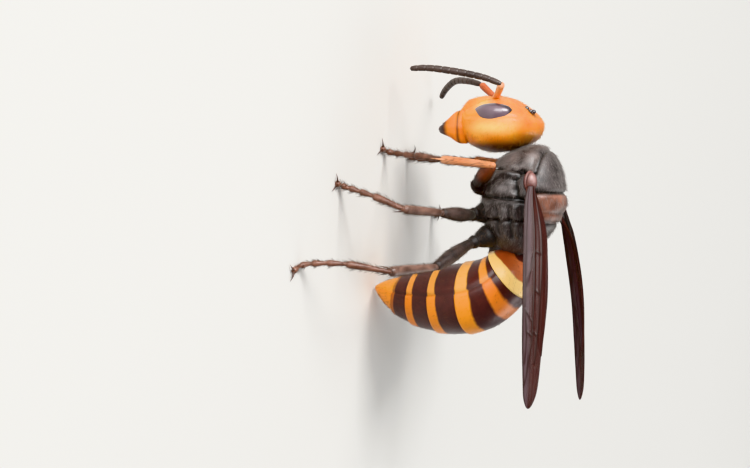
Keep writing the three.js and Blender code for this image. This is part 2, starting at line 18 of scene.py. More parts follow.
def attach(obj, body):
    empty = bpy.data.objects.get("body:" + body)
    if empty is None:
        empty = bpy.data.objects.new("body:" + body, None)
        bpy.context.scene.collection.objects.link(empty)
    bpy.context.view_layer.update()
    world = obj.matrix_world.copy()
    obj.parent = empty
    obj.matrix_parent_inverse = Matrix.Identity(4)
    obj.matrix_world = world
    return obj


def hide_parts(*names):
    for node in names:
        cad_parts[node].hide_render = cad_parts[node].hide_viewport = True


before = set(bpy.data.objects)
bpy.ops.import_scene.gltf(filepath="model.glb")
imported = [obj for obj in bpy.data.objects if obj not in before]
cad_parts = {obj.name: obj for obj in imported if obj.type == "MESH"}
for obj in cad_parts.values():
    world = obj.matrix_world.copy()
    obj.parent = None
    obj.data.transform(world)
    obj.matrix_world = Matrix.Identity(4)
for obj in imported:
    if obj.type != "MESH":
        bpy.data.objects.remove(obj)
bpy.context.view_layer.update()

# Thorax core
# The real middle of a hornet is a box of hard chitin plates round the flight muscles, blackish brown
# under a short grey-brown down. Its core, the mesothorax, carries the collar, the scutellum and the
# wings, and the lines where plates meet are sunk seams, drawn darker with painted shade like the
# furrows and the under side.

MM = 0.001
# The thorax stands on the legs with its head end this much lower.
LEAN = math.radians(10)
# The spot on the floor under the thorax, which lies off the middle of the whole insect.
UNDER_THORAX = Vector((-0.2156, -4.0323, -0.0496))
THORAX_UP = 14.64
THORAX_CENTRE = UNDER_THORAX + Vector((0, 0, THORAX_UP))
STANCE = Matrix.Translation(THORAX_CENTRE * MM) @ Matrix.Rotation(LEAN, 4, "X") @ Matrix.Scale(MM, 4)
FLOOR_FRAME = Matrix.Translation(UNDER_THORAX * MM) @ Matrix.Scale(MM, 4)
LEFTWARDS = Vector((1, 0, 0))


def srgb(code):
    """A hex colour as the linear values the shader wants."""
    parts = [int(code[i:i + 2], 16) / 255 for i in (1, 3, 5)]
    linear = [p / 12.92 if p <= 0.04045 else ((p + 0.055) / 1.055) ** 2.4 for p in parts]
    return (*linear, 1.0)


def add_node(material, kind, inputs=None, **settings):
    """Adds a shader node. Each input is a plain value or the output that feeds it."""
    node = material.node_tree.nodes.new("ShaderNode" + kind)
    for name, value in settings.items():
        setattr(node, name, value)
    for name, value in (inputs or {}).items():
        if isinstance(value, bpy.types.NodeSocket):
            material.node_tree.links.new(value, node.inputs[name])
        else:
            node.inputs[name].default_value = value
    return node


def new_material(name):
    """A material whose node tree is still empty."""
    material = bpy.data.materials.new(name)
    material.use_nodes = True
    material.node_tree.nodes.clear()
    return material


def profile(*pairs):
    """A smooth function through pairs of share and value."""
    shares = [pair[0] for pair in pairs]
    values = [pair[1] for pair in pairs]
    last = len(pairs) - 1

    def slope(i):
        low, high = max(i - 1, 0), min(i + 1, last)
        return (values[high] - values[low]) / (shares[high] - shares[low])

    def value_at(share):
        share = min(max(share, shares[0]), shares[-1])
        i = 0
        while i < last - 1 and share > shares[i + 1]:
            i += 1
        run = shares[i + 1] - shares[i]
        t = (share - shares[i]) / run
        hermite = (2 * t**3 - 3 * t**2 + 1, t**3 - 2 * t**2 + t, 3 * t**2 - 2 * t**3, t**3 - t**2)
        start, lead, end, tail = hermite
        return start * values[i] + lead * run * slope(i) + end * values[i + 1] + tail * run * slope(i + 1)

    return value_at


# Points worked out for each stretch of a spine, and how far either side its direction is read.
BEZIER_POINTS = 33
HALF_CHORD = 0.01


def spine_through(*points):
    """A smooth line through the points. Gives the place and the direction at a share of its length."""
    knots = [Vector(point) for point in points]
    ends = [2 * knots[0] - knots[1], *knots, 2 * knots[-1] - knots[-2]]
    trail = []
    for before, start, end, after in zip(ends, ends[1:], ends[2:], ends[3:]):
        pairs = ((before, start), (start, end), (end, after))
        gap_in, gap, gap_out = ((b - a).length ** 0.5 for a, b in pairs)
        lead = ((start - before) / gap_in - (end - before) / (gap_in + gap) + (end - start) / gap) * gap
        tail = ((end - start) / gap - (after - start) / (gap + gap_out) + (after - end) / gap_out) * gap
        trail += interpolate_bezier(start, start + lead / 3, end - tail / 3, end, BEZIER_POINTS)[:-1]
    trail.append(knots[-1])
    lengths = [0.0]
    for a, b in zip(trail, trail[1:]):
        lengths.append(lengths[-1] + (b - a).length)

    def place_at(share):
        target = min(max(share, 0.0), 1.0) * lengths[-1]
        low, high = 0, len(lengths) - 1
        while high - low > 1:
            middle = (low + high) // 2
            if lengths[middle] <= target:
                low = middle
            else:
                high = middle
        t = (target - lengths[low]) / (lengths[high] - lengths[low])
        return trail[low].lerp(trail[high], t)

    def line_at(share):
        direction = (place_at(share + HALF_CHORD) - place_at(share - HALF_CHORD)).normalized()
        return place_at(share), direction

    return line_at


def closer_at_ends(share):
    """Rings lie closer together near both ends, where the form rounds over."""
    return (1 - math.cos(math.pi * share)) / 2


# Points closer than this, in millimetres, are one.
MERGE_WITHIN = 0.0005


def wrap(spine, side, wide, over, under, around, rings, square=2.0, spread=None, start=0.0, end=1.0):
    """A grid wrapped round a spine, joined at its seam and closed at its ends.

    wide, over and under give how far it reaches to its sides, up and down at a share of the spine. Its
    section is a round at square 2, and boxier above. Its UV map has u round the form from its under
    side, and v along it.
    """
    bm = bmesh.new()
    bm.loops.layers.uv.new("UVMap")
    bmesh.ops.create_grid(bm, x_segments=around, y_segments=rings, size=0.5, calc_uvs=True)
    stations = {}
    for vert in bm.verts:
        step = round((vert.co.y + 0.5) * rings)
        if step not in stations:
            share = step / rings
            share = start + (end - start) * (spread(share) if spread else share)
            place, tangent = spine(share)
            width = (side - tangent * side.dot(tangent)).normalized()
            stations[step] = (place, width, width.cross(tangent), wide(share), over(share), under(share))
        place, width, up, half, reach_up, reach_down = stations[step]
        turn = 2 * math.pi * (vert.co.x + 0.5)
        out, rise = math.sin(turn), -math.cos(turn)
        rim = (abs(out) ** square + abs(rise) ** square) ** (-1 / square)
        reach = reach_up if rise > 0 else reach_down
        vert.co = place + width * (rim * out * half) + up * (rim * rise * reach)
    bmesh.ops.remove_doubles(bm, verts=bm.verts, dist=MERGE_WITHIN)
    rims = [edge for edge in bm.edges if edge.is_boundary]
    bmesh.ops.holes_fill(bm, edges=rims, sides=0)
    bmesh.ops.recalc_face_normals(bm, faces=bm.faces)
    return bm


def sculpt(bm, height):
    """Moves each point along its own normal by height(point) millimetres."""
    bm.normal_update()
    moves = [(vert, vert.normal * height(vert.co)) for vert in bm.verts]
    for vert, move in moves:
        vert.co += move


def near(distance, width):
    """1 at no distance, fading to 0 past the width."""
    return math.exp(-((distance / width) ** 2))


def to_line(point, start, end):
    """How far a point, as seen from the side, lies from a line between two (b, z) places."""
    along = ((point.y - start[0]) * (end[0] - start[0]) + (point.z - start[1]) * (end[1] - start[1]))
    along /= (end[0] - start[0]) ** 2 + (end[1] - start[1]) ** 2
    along = min(max(along, 0.0), 1.0)
    b = start[0] + along * (end[0] - start[0])
    z = start[1] + along * (end[1] - start[1])
    return math.hypot(point.y - b, point.z - z)


def to_lines(point, places):
    """How far a point, as seen from the side, lies from a line through several places."""
    return min(to_line(point, a, b) for a, b in zip(places, places[1:]))


def smooth(value, low, high):
    """0 below low, 1 above high, and an S curve between."""
    t = min(max((value - low) / (high - low), 0.0), 1.0)
    return t * t * (3 - 2 * t)


def finished(bm, name, material, matrix, nodes=()):
    """Sets the mesh in its place as a named piece that rides on the body and stands for its solids."""
    bmesh.ops.transform(bm, matrix=matrix, verts=bm.verts)
    if matrix.determinant() < 0:
        bmesh.ops.reverse_faces(bm, faces=bm.faces)
    for face in bm.faces:
        face.smooth = True
    mesh = bpy.data.meshes.new(name)
    bm.to_mesh(mesh)
    bm.free()
    piece = bpy.data.objects.new(name, mesh)
    bpy.context.scene.collection.objects.link(piece)
    mesh.materials.append(material)
    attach(piece, "root")
    if nodes:
        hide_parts(*nodes)
    return piece


SKIN_AROUND = 112
SKIN_RINGS = 96
THORAX_B = (-5.2, 5.8)
# Where plates meet, as (b, z) places seen from the side.
COLLAR_SEAM = [(-7.2, 3.75), (-2.7, 3.0), (-3.9, -5.5)]
SCUTELLUM_SEAM = [(-0.7, 6.5), (-0.7, 3.0), (2.4, 2.6), (2.7, 6.5)]
HIND_SEAM = [(2.7, 6.5), (2.4, 2.6), (1.8, -5.5)]
# Furrows, and ribs where the height is above 0: height, half width and the places each runs through.
SIDE_FURROWS = [
    (-0.34, 0.22, [(-3.1, 1.9), (-1.9, 1.1), (-0.3, 1.3), (0.2, 2.2)]),
    (-0.4, 0.22, [(0.2, 2.2), (-0.1, 0.2), (-0.5, -3.6)]),
    (-0.28, 0.2, [(-2.0, 1.1), (-2.3, -0.6), (-1.2, -1.9)]),
    (-0.2, 0.2, [(0.8, 1.8), (3.6, 1.8)]),
    (0.22, 0.26, [(0.9, 1.0), (3.8, 1.1)]),
    (-0.22, 0.18, [(0.9, 0.35), (3.9, 0.45)]),
    (0.2, 0.24, [(1.2, -0.3), (3.6, -0.2)]),
    (-0.2, 0.22, [(0.9, -1.0), (3.5, -1.1)]),
]
# Swellings of the side plates: height, b, z, stretch along b and half width.
SIDE_SWELLINGS = [
    (0.42, -2.9, 0.2, 1.3, 0.75),
    (0.38, -1.1, -0.9, 1.1, 0.8),
    (0.26, -4.6, 2.2, 1.2, 0.75),
    (-0.26, -1.0, 1.3, 1.0, 0.42),
]


def thorax_skin():
    """The egg-shaped outer form that all the plates of the thorax share."""
    front, back = THORAX_B
    bm = wrap(
        spine_through((0, front, 0.3), (0, (front + back) / 2, 0.4), (0, back, -0.1)),
        LEFTWARDS,
        profile(
            (0, 1.3), (0.05, 2.5), (0.2, 3.7), (0.4, 4.2), (0.6, 4.1), (0.8, 3.3), (0.94, 2.1), (1, 0.8)
        ),
        profile(
            (0, 1.4), (0.05, 2.7), (0.2, 4.0), (0.42, 4.65), (0.6, 4.4), (0.8, 3.0), (0.94, 1.6), (1, 0.5)
        ),
        profile(
            (0, 1.3), (0.05, 2.4), (0.2, 3.5), (0.42, 4.1), (0.6, 4.1), (0.8, 3.3), (0.94, 2.0), (1, 0.7)
        ),
        SKIN_AROUND,
        SKIN_RINGS,
        square=2.2,
        spread=closer_at_ends,
    )
    # The front face slopes, with its top ahead of its bottom.
    for vert in bm.verts:
        share = (vert.co.y - front) / (back - front)
        vert.co.y -= 0.32 * vert.co.z * (1 - share) ** 2
    return bm


def thorax_relief(point):
    """Seams, furrows and swellings of the thorax, in millimetres along its normal."""
    x, b, z = point
    height = -0.3 * near(to_lines(point, COLLAR_SEAM), 0.22)
    height -= 0.32 * near(to_lines(point, SCUTELLUM_SEAM[:3]), 0.22)
    height -= 0.26 * near(to_lines(point, HIND_SEAM), 0.18)
    side = smooth(abs(x), 1.8, 2.8)
    for rise, half_width, places in SIDE_FURROWS:
        height += rise * side * near(to_lines(point, places), half_width)
    for rise, at_b, at_z, stretch, half_width in SIDE_SWELLINGS:
        height += rise * side * near(math.hypot((b - at_b) / stretch, z - at_z), half_width)
    # The back: a middle line and two furrows on the scutum, and a raised cushion on the scutellum.
    top = smooth(z, 3.0, 3.8)
    height -= 0.09 * top * near(x, 0.1) * smooth(-b, 0.9, 1.8)
    height -= 0.07 * top * near(abs(x) - 1.5, 0.12) * near(b + 2.2, 1.1)
    height += 0.22 * top * near(abs(x) - 0.9, 0.8) * near(b - 0.45, 0.7)
    height -= 0.16 * top * near(b - 1.45, 0.14)
    height -= 0.14 * near(x, 0.35) * smooth(b, 3.0, 3.8) * smooth(z, -0.5, 0.8)
    return height


def paint(bm, attribute, amount):
    """Writes amount(vert), up to 1, on each point, for a material to read as an attribute."""
    layer = bm.verts.layers.float.new(attribute)
    for vert in bm.verts:
        vert[layer] = min(1.0, amount(vert))


def painted_seam_shade(vert):
    """Painted shade: the chitin is drawn darker in the sunk seams and furrows and on the under side."""
    return max(smooth(-thorax_relief(vert.co), 0.08, 0.26), 0.6 * smooth(-vert.co.z, 0.8, 3.4))


# Object coordinates are metres, and patterns are sized in millimetres.
TO_MM = (1 / MM,) * 3


def down_coated_chitin(name, base, tint, tint_amount, seam="#0d0a09", roughness=0.42):
    """Black-brown chitin, grown by the insect: satin, finely pitted, with a grey bloom of fine down."""
    material = new_material(name)
    coords = add_node(material, "TexCoord")
    in_mm = add_node(material, "Mapping", {"Vector": coords.outputs["Object"], "Scale": TO_MM})
    # Pits about 0.1 mm apart on the real shell, drawn 0.14 mm apart so that they show.
    pits = add_node(material, "TexVoronoi", {"Vector": in_mm.outputs[0], "Scale": 1 / 0.143})
    # The bloom comes and goes in patches about 1.4 mm across.
    cloud = add_node(material, "TexNoise", {"Vector": in_mm.outputs[0], "Scale": 1 / 1.43, "Detail": 4.0})
    amount = add_node(
        material, "MapRange",
        {"Value": cloud.outputs[0], "From Min": 0.35, "From Max": 0.7, "To Max": tint_amount},
    )
    bloom = add_node(
        material, "Mix", {0: amount.outputs[0], 6: srgb(base), 7: srgb(tint)}, data_type="RGBA"
    )
    # Where the 'dark' attribute is set the colour runs to the seam colour: painted shade in the seams and
    # furrows and on the under side of the thorax, and darker towards each leg's root.
    painted = add_node(material, "Attribute", attribute_name="dark")
    colour = add_node(
        material, "Mix", {0: painted.outputs["Fac"], 6: bloom.outputs[2], 7: srgb(seam)}, data_type="RGBA"
    )
    relief = add_node(
        material, "Bump", {"Height": pits.outputs["Distance"], "Strength": 0.35, "Distance": 0.00006}
    )
    shader = add_node(
        material,
        "BsdfPrincipled",
        {
            "Base Color": colour.outputs[2],
            "Roughness": roughness,
            "IOR": 1.55,
            "Sheen Weight": 0.3,
            "Sheen Roughness": 0.5,
            "Sheen Tint": srgb("#b8b2a6"),
            "Normal": relief.outputs[0],
        },
    )
    add_node(material, "OutputMaterial", {"Surface": shader.outputs[0]})
    return material


THORAX_CHITIN = down_coated_chitin("downy_black_brown_chitin", "#26201f", "#5c5452", 0.85)


def seam_planes(seam, middle):
    """A place and the way out of a plate for each stretch of its seam. middle is a place in the plate."""
    planes = []
    for start, end in zip(seam, seam[1:]):
        place = Vector((0, *start))
        outside = Vector((0, start[1] - end[1], end[0] - start[0])).normalized()
        if (Vector((0, *middle)) - place).dot(outside) > 0:
            outside.negate()
        planes.append((place, outside))
    return planes


COLLAR_PLANES = seam_planes(COLLAR_SEAM, (-5.5, 0))
SCUTELLUM_PLANES = seam_planes(SCUTELLUM_SEAM, (1, 4))
PROPODEUM_PLANES = seam_planes(HIND_SEAM[1:], (4.5, 0))
PLATE_THICK = 0.3


def core_relief(point):
    """The core sinks where the collar, the scutellum and the propodeum lie over it."""
    height = thorax_relief(point)
    for planes in (COLLAR_PLANES, SCUTELLUM_PLANES, PROPODEUM_PLANES):
        if all((point - place).dot(outside) < 0 for place, outside in planes):
            return height - PLATE_THICK
    return height


core = thorax_skin()
sculpt(core, core_relief)
# Painted shade in the seams and furrows and on the under side.
paint(core, "dark", painted_seam_shade)
core_piece = finished(core, "thorax_core", THORAX_CHITIN, STANCE, ["mesothorax"])

# Collar, scutellum and propodeum
# Three more plates of chitin lie over the core: the collar, drawn lighter and greyer than the core as a
# painted highlight, wraps its front down to the fore legs, the rusty, cushioned scutellum sits between
# the wings, and the propodeum closes it at the waist.

# A lighter, greyer copy of the thorax chitin: a painted highlight on the collar.
COLLAR_CHITIN = down_coated_chitin("collar_chitin_painted_lighter", "#302927", "#7a6e6a", 0.9)
SCUTELLUM_CHITIN = down_coated_chitin("rusty_scutellum_chitin", "#4e2e22", "#916250", 0.8)


def plate(name, planes, material, node):
    """One plate of the thorax, cut from the shared form along its seam."""
    bm = thorax_skin()
    sculpt(bm, thorax_relief)
    # Painted shade in the seams and furrows and on the under side.
    paint(bm, "dark", painted_seam_shade)
    for place, outside in planes:
        everything = bm.verts[:] + bm.edges[:] + bm.faces[:]
        cut = bmesh.ops.bisect_plane(
            bm, geom=everything, plane_co=place, plane_no=outside, clear_outer=True
        )
        rim = [item for item in cut["geom_cut"] if isinstance(item, bmesh.types.BMEdge)]
        bmesh.ops.holes_fill(bm, edges=rim, sides=0)
    bmesh.ops.recalc_face_normals(bm, faces=bm.faces)
    return finished(bm, name, material, STANCE, [node])


collar = plate("thorax_collar", COLLAR_PLANES, COLLAR_CHITIN, "pronotum")
scutellum = plate("scutellum_plate", SCUTELLUM_PLANES, SCUTELLUM_CHITIN, "scutellum")
propodeum = plate("propodeum_plate", PROPODEUM_PLANES, THORAX_CHITIN, "propodeum")

# Down
# Short hairs of soft chitin, rooted in pits of the shell. They stand thick and grey-brown all over the
# thorax and lie back along it, and each is a thin tapering spike that bends over.


def hair_form():
    """One hair of unit length and thickness, along z, with its own patch on the coat's map."""
    hair = bmesh.new()
    patch = hair.loops.layers.uv.new("OFBake")
    bmesh.ops.create_cone(hair, cap_ends=True, segments=3, radius1=1.0, radius2=0.15, depth=1.0)
    bmesh.ops.translate(hair, verts=hair.verts, vec=(0, 0, 0.5))
    long_edges = [edge for edge in hair.edges if abs(edge.verts[0].co.z - edge.verts[1].co.z) > 0.5]
    bmesh.ops.subdivide_edges(hair, edges=long_edges, cuts=2)
    for face in hair.faces:
        face.smooth = True
        for loop in face.loops:
            loop[patch].uv = (0.5 + 0.3 * loop.vert.co.x, loop.vert.co.z)
    mesh = bpy.data.meshes.new("one_hair")
    hair.to_mesh(mesh)
    hair.free()
    return mesh


ONE_HAIR = hair_form()
HAIR_POINTS = numpy.array([vert.co[:] for vert in ONE_HAIR.vertices])
HAIR_MAP = numpy.array([loop.uv[:] for loop in ONE_HAIR.uv_layers["OFBake"].data])
# A hair's patch on the coat's map, as a share of the map of the skin under it.
HAIR_PATCH = 0.003
HAIR_SCATTER = 0.25
HAIR_BEND = 0.35


def grow(name, skin, count, length, thick, lift, flow, material, seed, keep=None):
    """A coat of hairs rooted in a piece's skin, sizes in millimetres.

    flow is the way they lie, and lift is how far they stand up, from 0, flat, to 1. No hair reaches
    under the floor.
    """
    rng = random.Random(seed)
    mesh = skin.data
    mesh.calc_loop_triangles()
    layout = mesh.uv_layers[0].data
    triangles = mesh.loop_triangles
    picks = rng.choices(range(len(triangles)), weights=[triangle.area for triangle in triangles], k=count)
    coat = bmesh.new()
    for pick in picks:
        triangle = triangles[pick]
        low, high = sorted((rng.random(), rng.random()))
        shares = (low, high - low, 1 - high)
        root = Vector()
        spot = Vector((0, 0))
        for corner, loop, share in zip(triangle.vertices, triangle.loops, shares):
            root += mesh.vertices[corner].co * share
            spot += layout[loop].uv * share
        if keep and not keep(root):
            continue
        normal = triangle.normal
        lie = flow - normal * flow.dot(normal)
        lie += Vector([rng.gauss(0, HAIR_SCATTER) for _ in range(3)])
        lie = (lie - normal * lie.dot(normal)).normalized()
        stand = (lie * (1 - lift) + normal * lift).normalized()
        across = stand.cross(normal).normalized()
        long = length * rng.uniform(0.6, 1.2) * MM
        wide = thick * MM
        up_hair = HAIR_POINTS[:, 2:]
        points = (
            numpy.array(root)
            + HAIR_POINTS[:, :1] * wide * numpy.array(across)
            + HAIR_POINTS[:, 1:2] * wide * numpy.array(stand.cross(across))
            + up_hair * long * numpy.array(stand)
            + up_hair ** 2 * HAIR_BEND * long * numpy.array(lie - stand * 0.4)
        )
        if points[:, 2].min() < 0:
            continue
        ONE_HAIR.vertices.foreach_set("co", points.ravel())
        patch = HAIR_MAP * HAIR_PATCH + numpy.array(spot) * (1 - HAIR_PATCH)
        ONE_HAIR.uv_layers["OFBake"].data.foreach_set("uv", patch.ravel())
        coat.from_mesh(ONE_HAIR)
    return finished(coat, name, material, Matrix.Identity(4), [])


def hair_chitin(name, dark, light):
    """Soft chitin hair, drawn out by growth: dull, in two shades that mingle over the coat."""
    material = new_material(name)
    coords = add_node(material, "TexCoord")
    in_mm = add_node(material, "Mapping", {"Vector": coords.outputs["Object"], "Scale": TO_MM})
    # Hairs about 0.4 mm apart differ in shade.
    mottle = add_node(material, "TexNoise", {"Vector": in_mm.outputs[0], "Scale": 1 / 0.4, "Detail": 2.0})
    colour = add_node(
        material, "Mix", {0: mottle.outputs[0], 6: srgb(dark), 7: srgb(light)}, data_type="RGBA"
    )
    shader = add_node(
        material, "BsdfPrincipled", {"Base Color": colour.outputs[2], "Roughness": 0.55, "IOR": 1.5}
    )
    add_node(material, "OutputMaterial", {"Surface": shader.outputs[0]})
    return material


TO_BODY = STANCE.inverted()


def clear_of_seams(place):
    """No hair grows in a seam, which keeps its painted shade."""
    return thorax_relief(TO_BODY @ place) > -0.12


GREY_DOWN = hair_chitin("grey_brown_down", "#524a47", "#a89e9a")
TAILWARDS = (STANCE.to_3x3() @ Vector((0, 1, -0.25))).normalized()
for name, skin, count, length, seed in (
    ("thorax_core_down", core_piece, 5200, 0.44, 11),
    ("thorax_collar_down", collar, 3000, 0.42, 12),
    ("scutellum_down", scutellum, 600, 0.5, 13),
    ("propodeum_down", propodeum, 1400, 0.44, 14),
):
    grow(
        name, skin, count, length, 0.014, 0.42, TAILWARDS, GREY_DOWN, seed,
        keep=clear_of_seams,
    )

# Head
# A broad, swollen capsule of hard chitin, bright orange-yellow with fine pits, with painted shade in
# dark rust towards the neck and a painted highlight on the cheeks. The face has a shield over the jaws,
# and a socket for each feeler.

EYE_LINE = spine_through((3.0, -9.05, 0.55), (3.6, -9.1, -0.6), (3.72, -9.15, -1.8), (3.05, -9.35, -3.95))
EYE_TRAIL = [EYE_LINE(i / 12)[0] for i in range(13)]


def to_eye(point):
    """How far a point of the head lies from the middle line of the nearer eye."""
    mirrored = Vector((abs(point.x), point.y, point.z))
    return min((mirrored - place).length for place in EYE_TRAIL)


def shield_radius(point):
    """1 on the rim of the face shield, less inside it."""
    return math.hypot(point.x / 2.45, (point.z + 4.5) / 1.8)


def head_relief(point):
    """Shield, sockets, eye rims and cheeks, in millimetres along the head's normal."""
    x, b, z = point
    face = smooth(-b, 8.6, 9.6)
    rim = shield_radius(point)
    low = smooth(z, -5.9, -4.6)
    height = face * (0.4 * low * smooth(1.15 - rim, 0.0, 0.5) - 0.16 * near(rim - 1.12, 0.07))
    # Feeler sockets: a raised ring round a pit, and a low ridge between them.
    socket = math.hypot(abs(x) - 1.2, z + 2.15)
    height += face * (0.16 * near(socket - 0.5, 0.14) - 0.28 * near(socket, 0.3))
    height += 0.16 * face * near(x, 0.45) * near(z + 2.0, 0.8)
    height -= 0.05 * face * near(x, 0.08) * near(z + 0.2, 1.2)
    # The skin dips round the eye, and swells behind it as a full cheek.
    height -= 0.08 * near(to_eye(point) - 1.0, 0.16)
    height += 0.1 * near(math.hypot(b + 7.2, z + 1.0), 1.6) * smooth(abs(x), 3, 4)
    height -= 0.1 * near(math.hypot(x, z - 1.5), 0.9) * smooth(-b, 8.2, 9.0)
    return height


head = wrap(
    spine_through((0, -7.9, -6.2), (0, -7.9, 2.6)),
    LEFTWARDS,
    profile(
        (0, 1.5), (0.045, 2.3), (0.136, 3.3), (0.216, 3.8), (0.375, 4.4), (0.6, 4.6),
        (0.73, 4.35), (0.86, 3.6), (0.96, 2.0), (1, 0.6),
    ),
    profile(
        (0, 1.2), (0.045, 2.0), (0.136, 2.35), (0.216, 2.5), (0.375, 2.75), (0.6, 2.84),
        (0.73, 2.3), (0.86, 1.5), (0.96, 0.5), (1, 0.15),
    ),
    profile(
        (0, 0.9), (0.045, 1.5), (0.136, 2.0), (0.216, 2.4), (0.375, 2.85), (0.6, 2.7),
        (0.73, 2.4), (0.86, 1.85), (0.96, 1.1), (1, 0.3),
    ),
    160,
    120,
    square=2.4,
    spread=closer_at_ends,
)
sculpt(head, head_relief)


def head_marks_and_painted_shade(vert):
    """Darker round the bead eyes and in the seams of the shield and the cheeks, and painted shade at the
    nape and the back of the crown.
    """
    x, b, z = vert.co
    crown = near(math.hypot(x, z - 1.5), 0.75) * smooth(-b, 8.2, 8.8)
    nape = smooth(b, -6.3, -5.5) * 0.95 + 0.6 * near(math.hypot(b + 6.2, z - 1.9), 1.1)
    shield_seam = 0.6 * near(shield_radius(vert.co) - 1.12, 0.05) * smooth(-b, 8.8, 9.6)
    cheek_seam = 0.7 * near(z + 6.0, 0.14)
    return crown + nape + shield_seam + cheek_seam


def painted_head_highlight(vert):
    """Painted highlight: yellower on the full cheeks and between the feelers and the eyes."""
    x, b, z = vert.co
    cheek = near(math.hypot((b + 7.5) / 0.75, (z + 1.4) / 2.6), 1.0) * smooth(abs(x), 3.2, 4.2)
    brow = near(math.hypot((b + 10.1) / 0.5, (z + 2.9) / 0.8), 1.0)
    return 0.95 * cheek + 0.85 * brow


# Dark marks with painted shade at the nape, and a painted highlight on the cheeks and brow.
paint(head, "dark", head_marks_and_painted_shade)
paint(head, "pale", painted_head_highlight)


def orange_chitin(name, light, deep, shade, glow="#fbd07a"):
    """Orange chitin with its colour in the shell itself: waxy and finely pitted, and paler as a painted
    highlight where the 'pale' attribute is set.
    """
    material = new_material(name)
    coords = add_node(material, "TexCoord")
    in_mm = add_node(material, "Mapping", {"Vector": coords.outputs["Object"], "Scale": TO_MM})
    # The two oranges run into each other in clouds about 2 mm across.
    cloud = add_node(material, "TexNoise", {"Vector": in_mm.outputs[0], "Scale": 1 / 2.22, "Detail": 5.0})
    # Pits 0.12 mm apart on the real shell, drawn 0.22 mm apart so that they show.
    pits = add_node(material, "TexVoronoi", {"Vector": in_mm.outputs[0], "Scale": 1 / 0.222})
    pit_floor = add_node(
        material, "MapRange", {"Value": pits.outputs["Distance"], "From Min": 0.0, "From Max": 0.45}
    )
    blend = add_node(
        material, "MapRange", {"Value": cloud.outputs[0], "From Min": 0.35, "From Max": 0.65}
    )
    warm = add_node(
        material, "Mix", {0: blend.outputs[0], 6: srgb(light), 7: srgb(deep)}, data_type="RGBA"
    )
    # Painted highlight: the colour runs to the highlight colour where the 'pale' attribute is set.
    highlight_mask = add_node(material, "Attribute", attribute_name="pale")
    highlighted = add_node(
        material, "Mix", {0: highlight_mask.outputs["Fac"], 6: warm.outputs[2], 7: srgb(glow)}, data_type="RGBA"
    )
    # The 'dark' attribute runs the colour to the shade colour: dark marks of the shell, such as the jaws'
    # teeth, and painted shade at the head's nape and in the wing scale's groove.
    painted = add_node(material, "Attribute", attribute_name="dark")
    colour = add_node(
        material, "Mix", {0: painted.outputs["Fac"], 6: highlighted.outputs[2], 7: srgb(shade)},
        data_type="RGBA",
    )
    relief = add_node(
        material, "Bump", {"Height": pit_floor.outputs[0], "Strength": 0.25, "Distance": 0.00008}
    )
    shader = add_node(
        material,
        "BsdfPrincipled",
        {
            "Base Color": colour.outputs[2],
            "Roughness": 0.36,
            "IOR": 1.5,
            "Subsurface Weight": 0.12,
            "Subsurface Radius": (0.0006, 0.0003, 0.0001),
            "Subsurface Scale": 1.0,
            "Normal": relief.outputs[0],
        },
    )
    add_node(material, "OutputMaterial", {"Surface": shader.outputs[0]})
    return material


HEAD_CHITIN = orange_chitin("orange_head_chitin", "#f6a134", "#e98318", "#4e1c0c")
head_piece = finished(head, "head_capsule", HEAD_CHITIN, STANCE, ["head"])
GOLD_DOWN = hair_chitin("golden_face_down", "#8a5a20", "#c99a4e")
grow(
    "head_down", head_piece, 1500, 0.28, 0.014, 0.5, TAILWARDS, GOLD_DOWN, 21,
    keep=lambda place: to_eye(TO_BODY @ place) > 1.15,
)

# Eyes
# A long almond of thousands of tiny lenses, set flush in each side of the head and pointed towards the
# jaw. Three bead eyes of clear dark chitin stand in a triangle on the crown.

# Clear lenses over a dark pigment: a smooth gloss whose lilac-brown colour is partly a painted reflection,
# with painted shade that darkens it towards the rim.
eye_material = new_material("dark_compound_eye")
# Painted shade: the 'dark' attribute runs each eye's colour to near black towards its rim, where it turns
# away from the side; the bead eyes take that dark colour as their own.
rim = add_node(eye_material, "Attribute", attribute_name="dark")
eye_colour = add_node(
    eye_material, "Mix", {0: rim.outputs["Fac"], 6: srgb("#5c4852"), 7: srgb("#22161a")}, data_type="RGBA"
)
coords = add_node(eye_material, "TexCoord")
in_mm = add_node(eye_material, "Mapping", {"Vector": coords.outputs["Object"], "Scale": TO_MM})
# Real lenses are about 0.03 mm across and are drawn about 0.1 mm across so that they show.
lenses = add_node(eye_material, "TexVoronoi", {"Vector": in_mm.outputs[0], "Scale": 1 / 0.1})
lens_relief = add_node(
    eye_material, "Bump", {"Height": lenses.outputs["Distance"], "Strength": 0.12, "Distance": 0.00003},
    invert=True,
)
shader = add_node(
    eye_material,
    "BsdfPrincipled",
    {
        "Base Color": eye_colour.outputs[2],
        "Roughness": 0.4,
        "IOR": 1.6,
        "Sheen Weight": 0.25,
        "Sheen Tint": srgb("#c0b0c8"),
        "Coat Weight": 1.0,
        "Coat Roughness": 0.2,
        "Normal": lens_relief.outputs[0],
    },
)
add_node(eye_material, "OutputMaterial", {"Surface": shader.outputs[0]})


def almond(radius):
    """Round at the crown end and drawn out to a point at the jaw end."""
    outline = profile(
        (0, 0.03), (0.04, 0.42), (0.15, 0.78), (0.4, 1.0), (0.65, 0.86), (0.88, 0.42), (1, 0.04)
    )
    return lambda share: radius * outline(share)


SIDES = {"left": Matrix.Identity(4), "right": Matrix.Scale(-1, 4, LEFTWARDS)}
for side, turn in SIDES.items():
    eye = wrap(EYE_LINE, LEFTWARDS, almond(1.05), almond(1.3), almond(0.95), 64, 56, spread=closer_at_ends)
    eye.normal_update()
    # Painted shade towards the rim, where the lens turns away from the side.
    paint(eye, "dark", lambda vert: smooth(1 - vert.normal.x, 0.2, 0.55))
    finished(eye, f"eye_{side}_lens", eye_material, STANCE @ turn, ["eye_" + side])

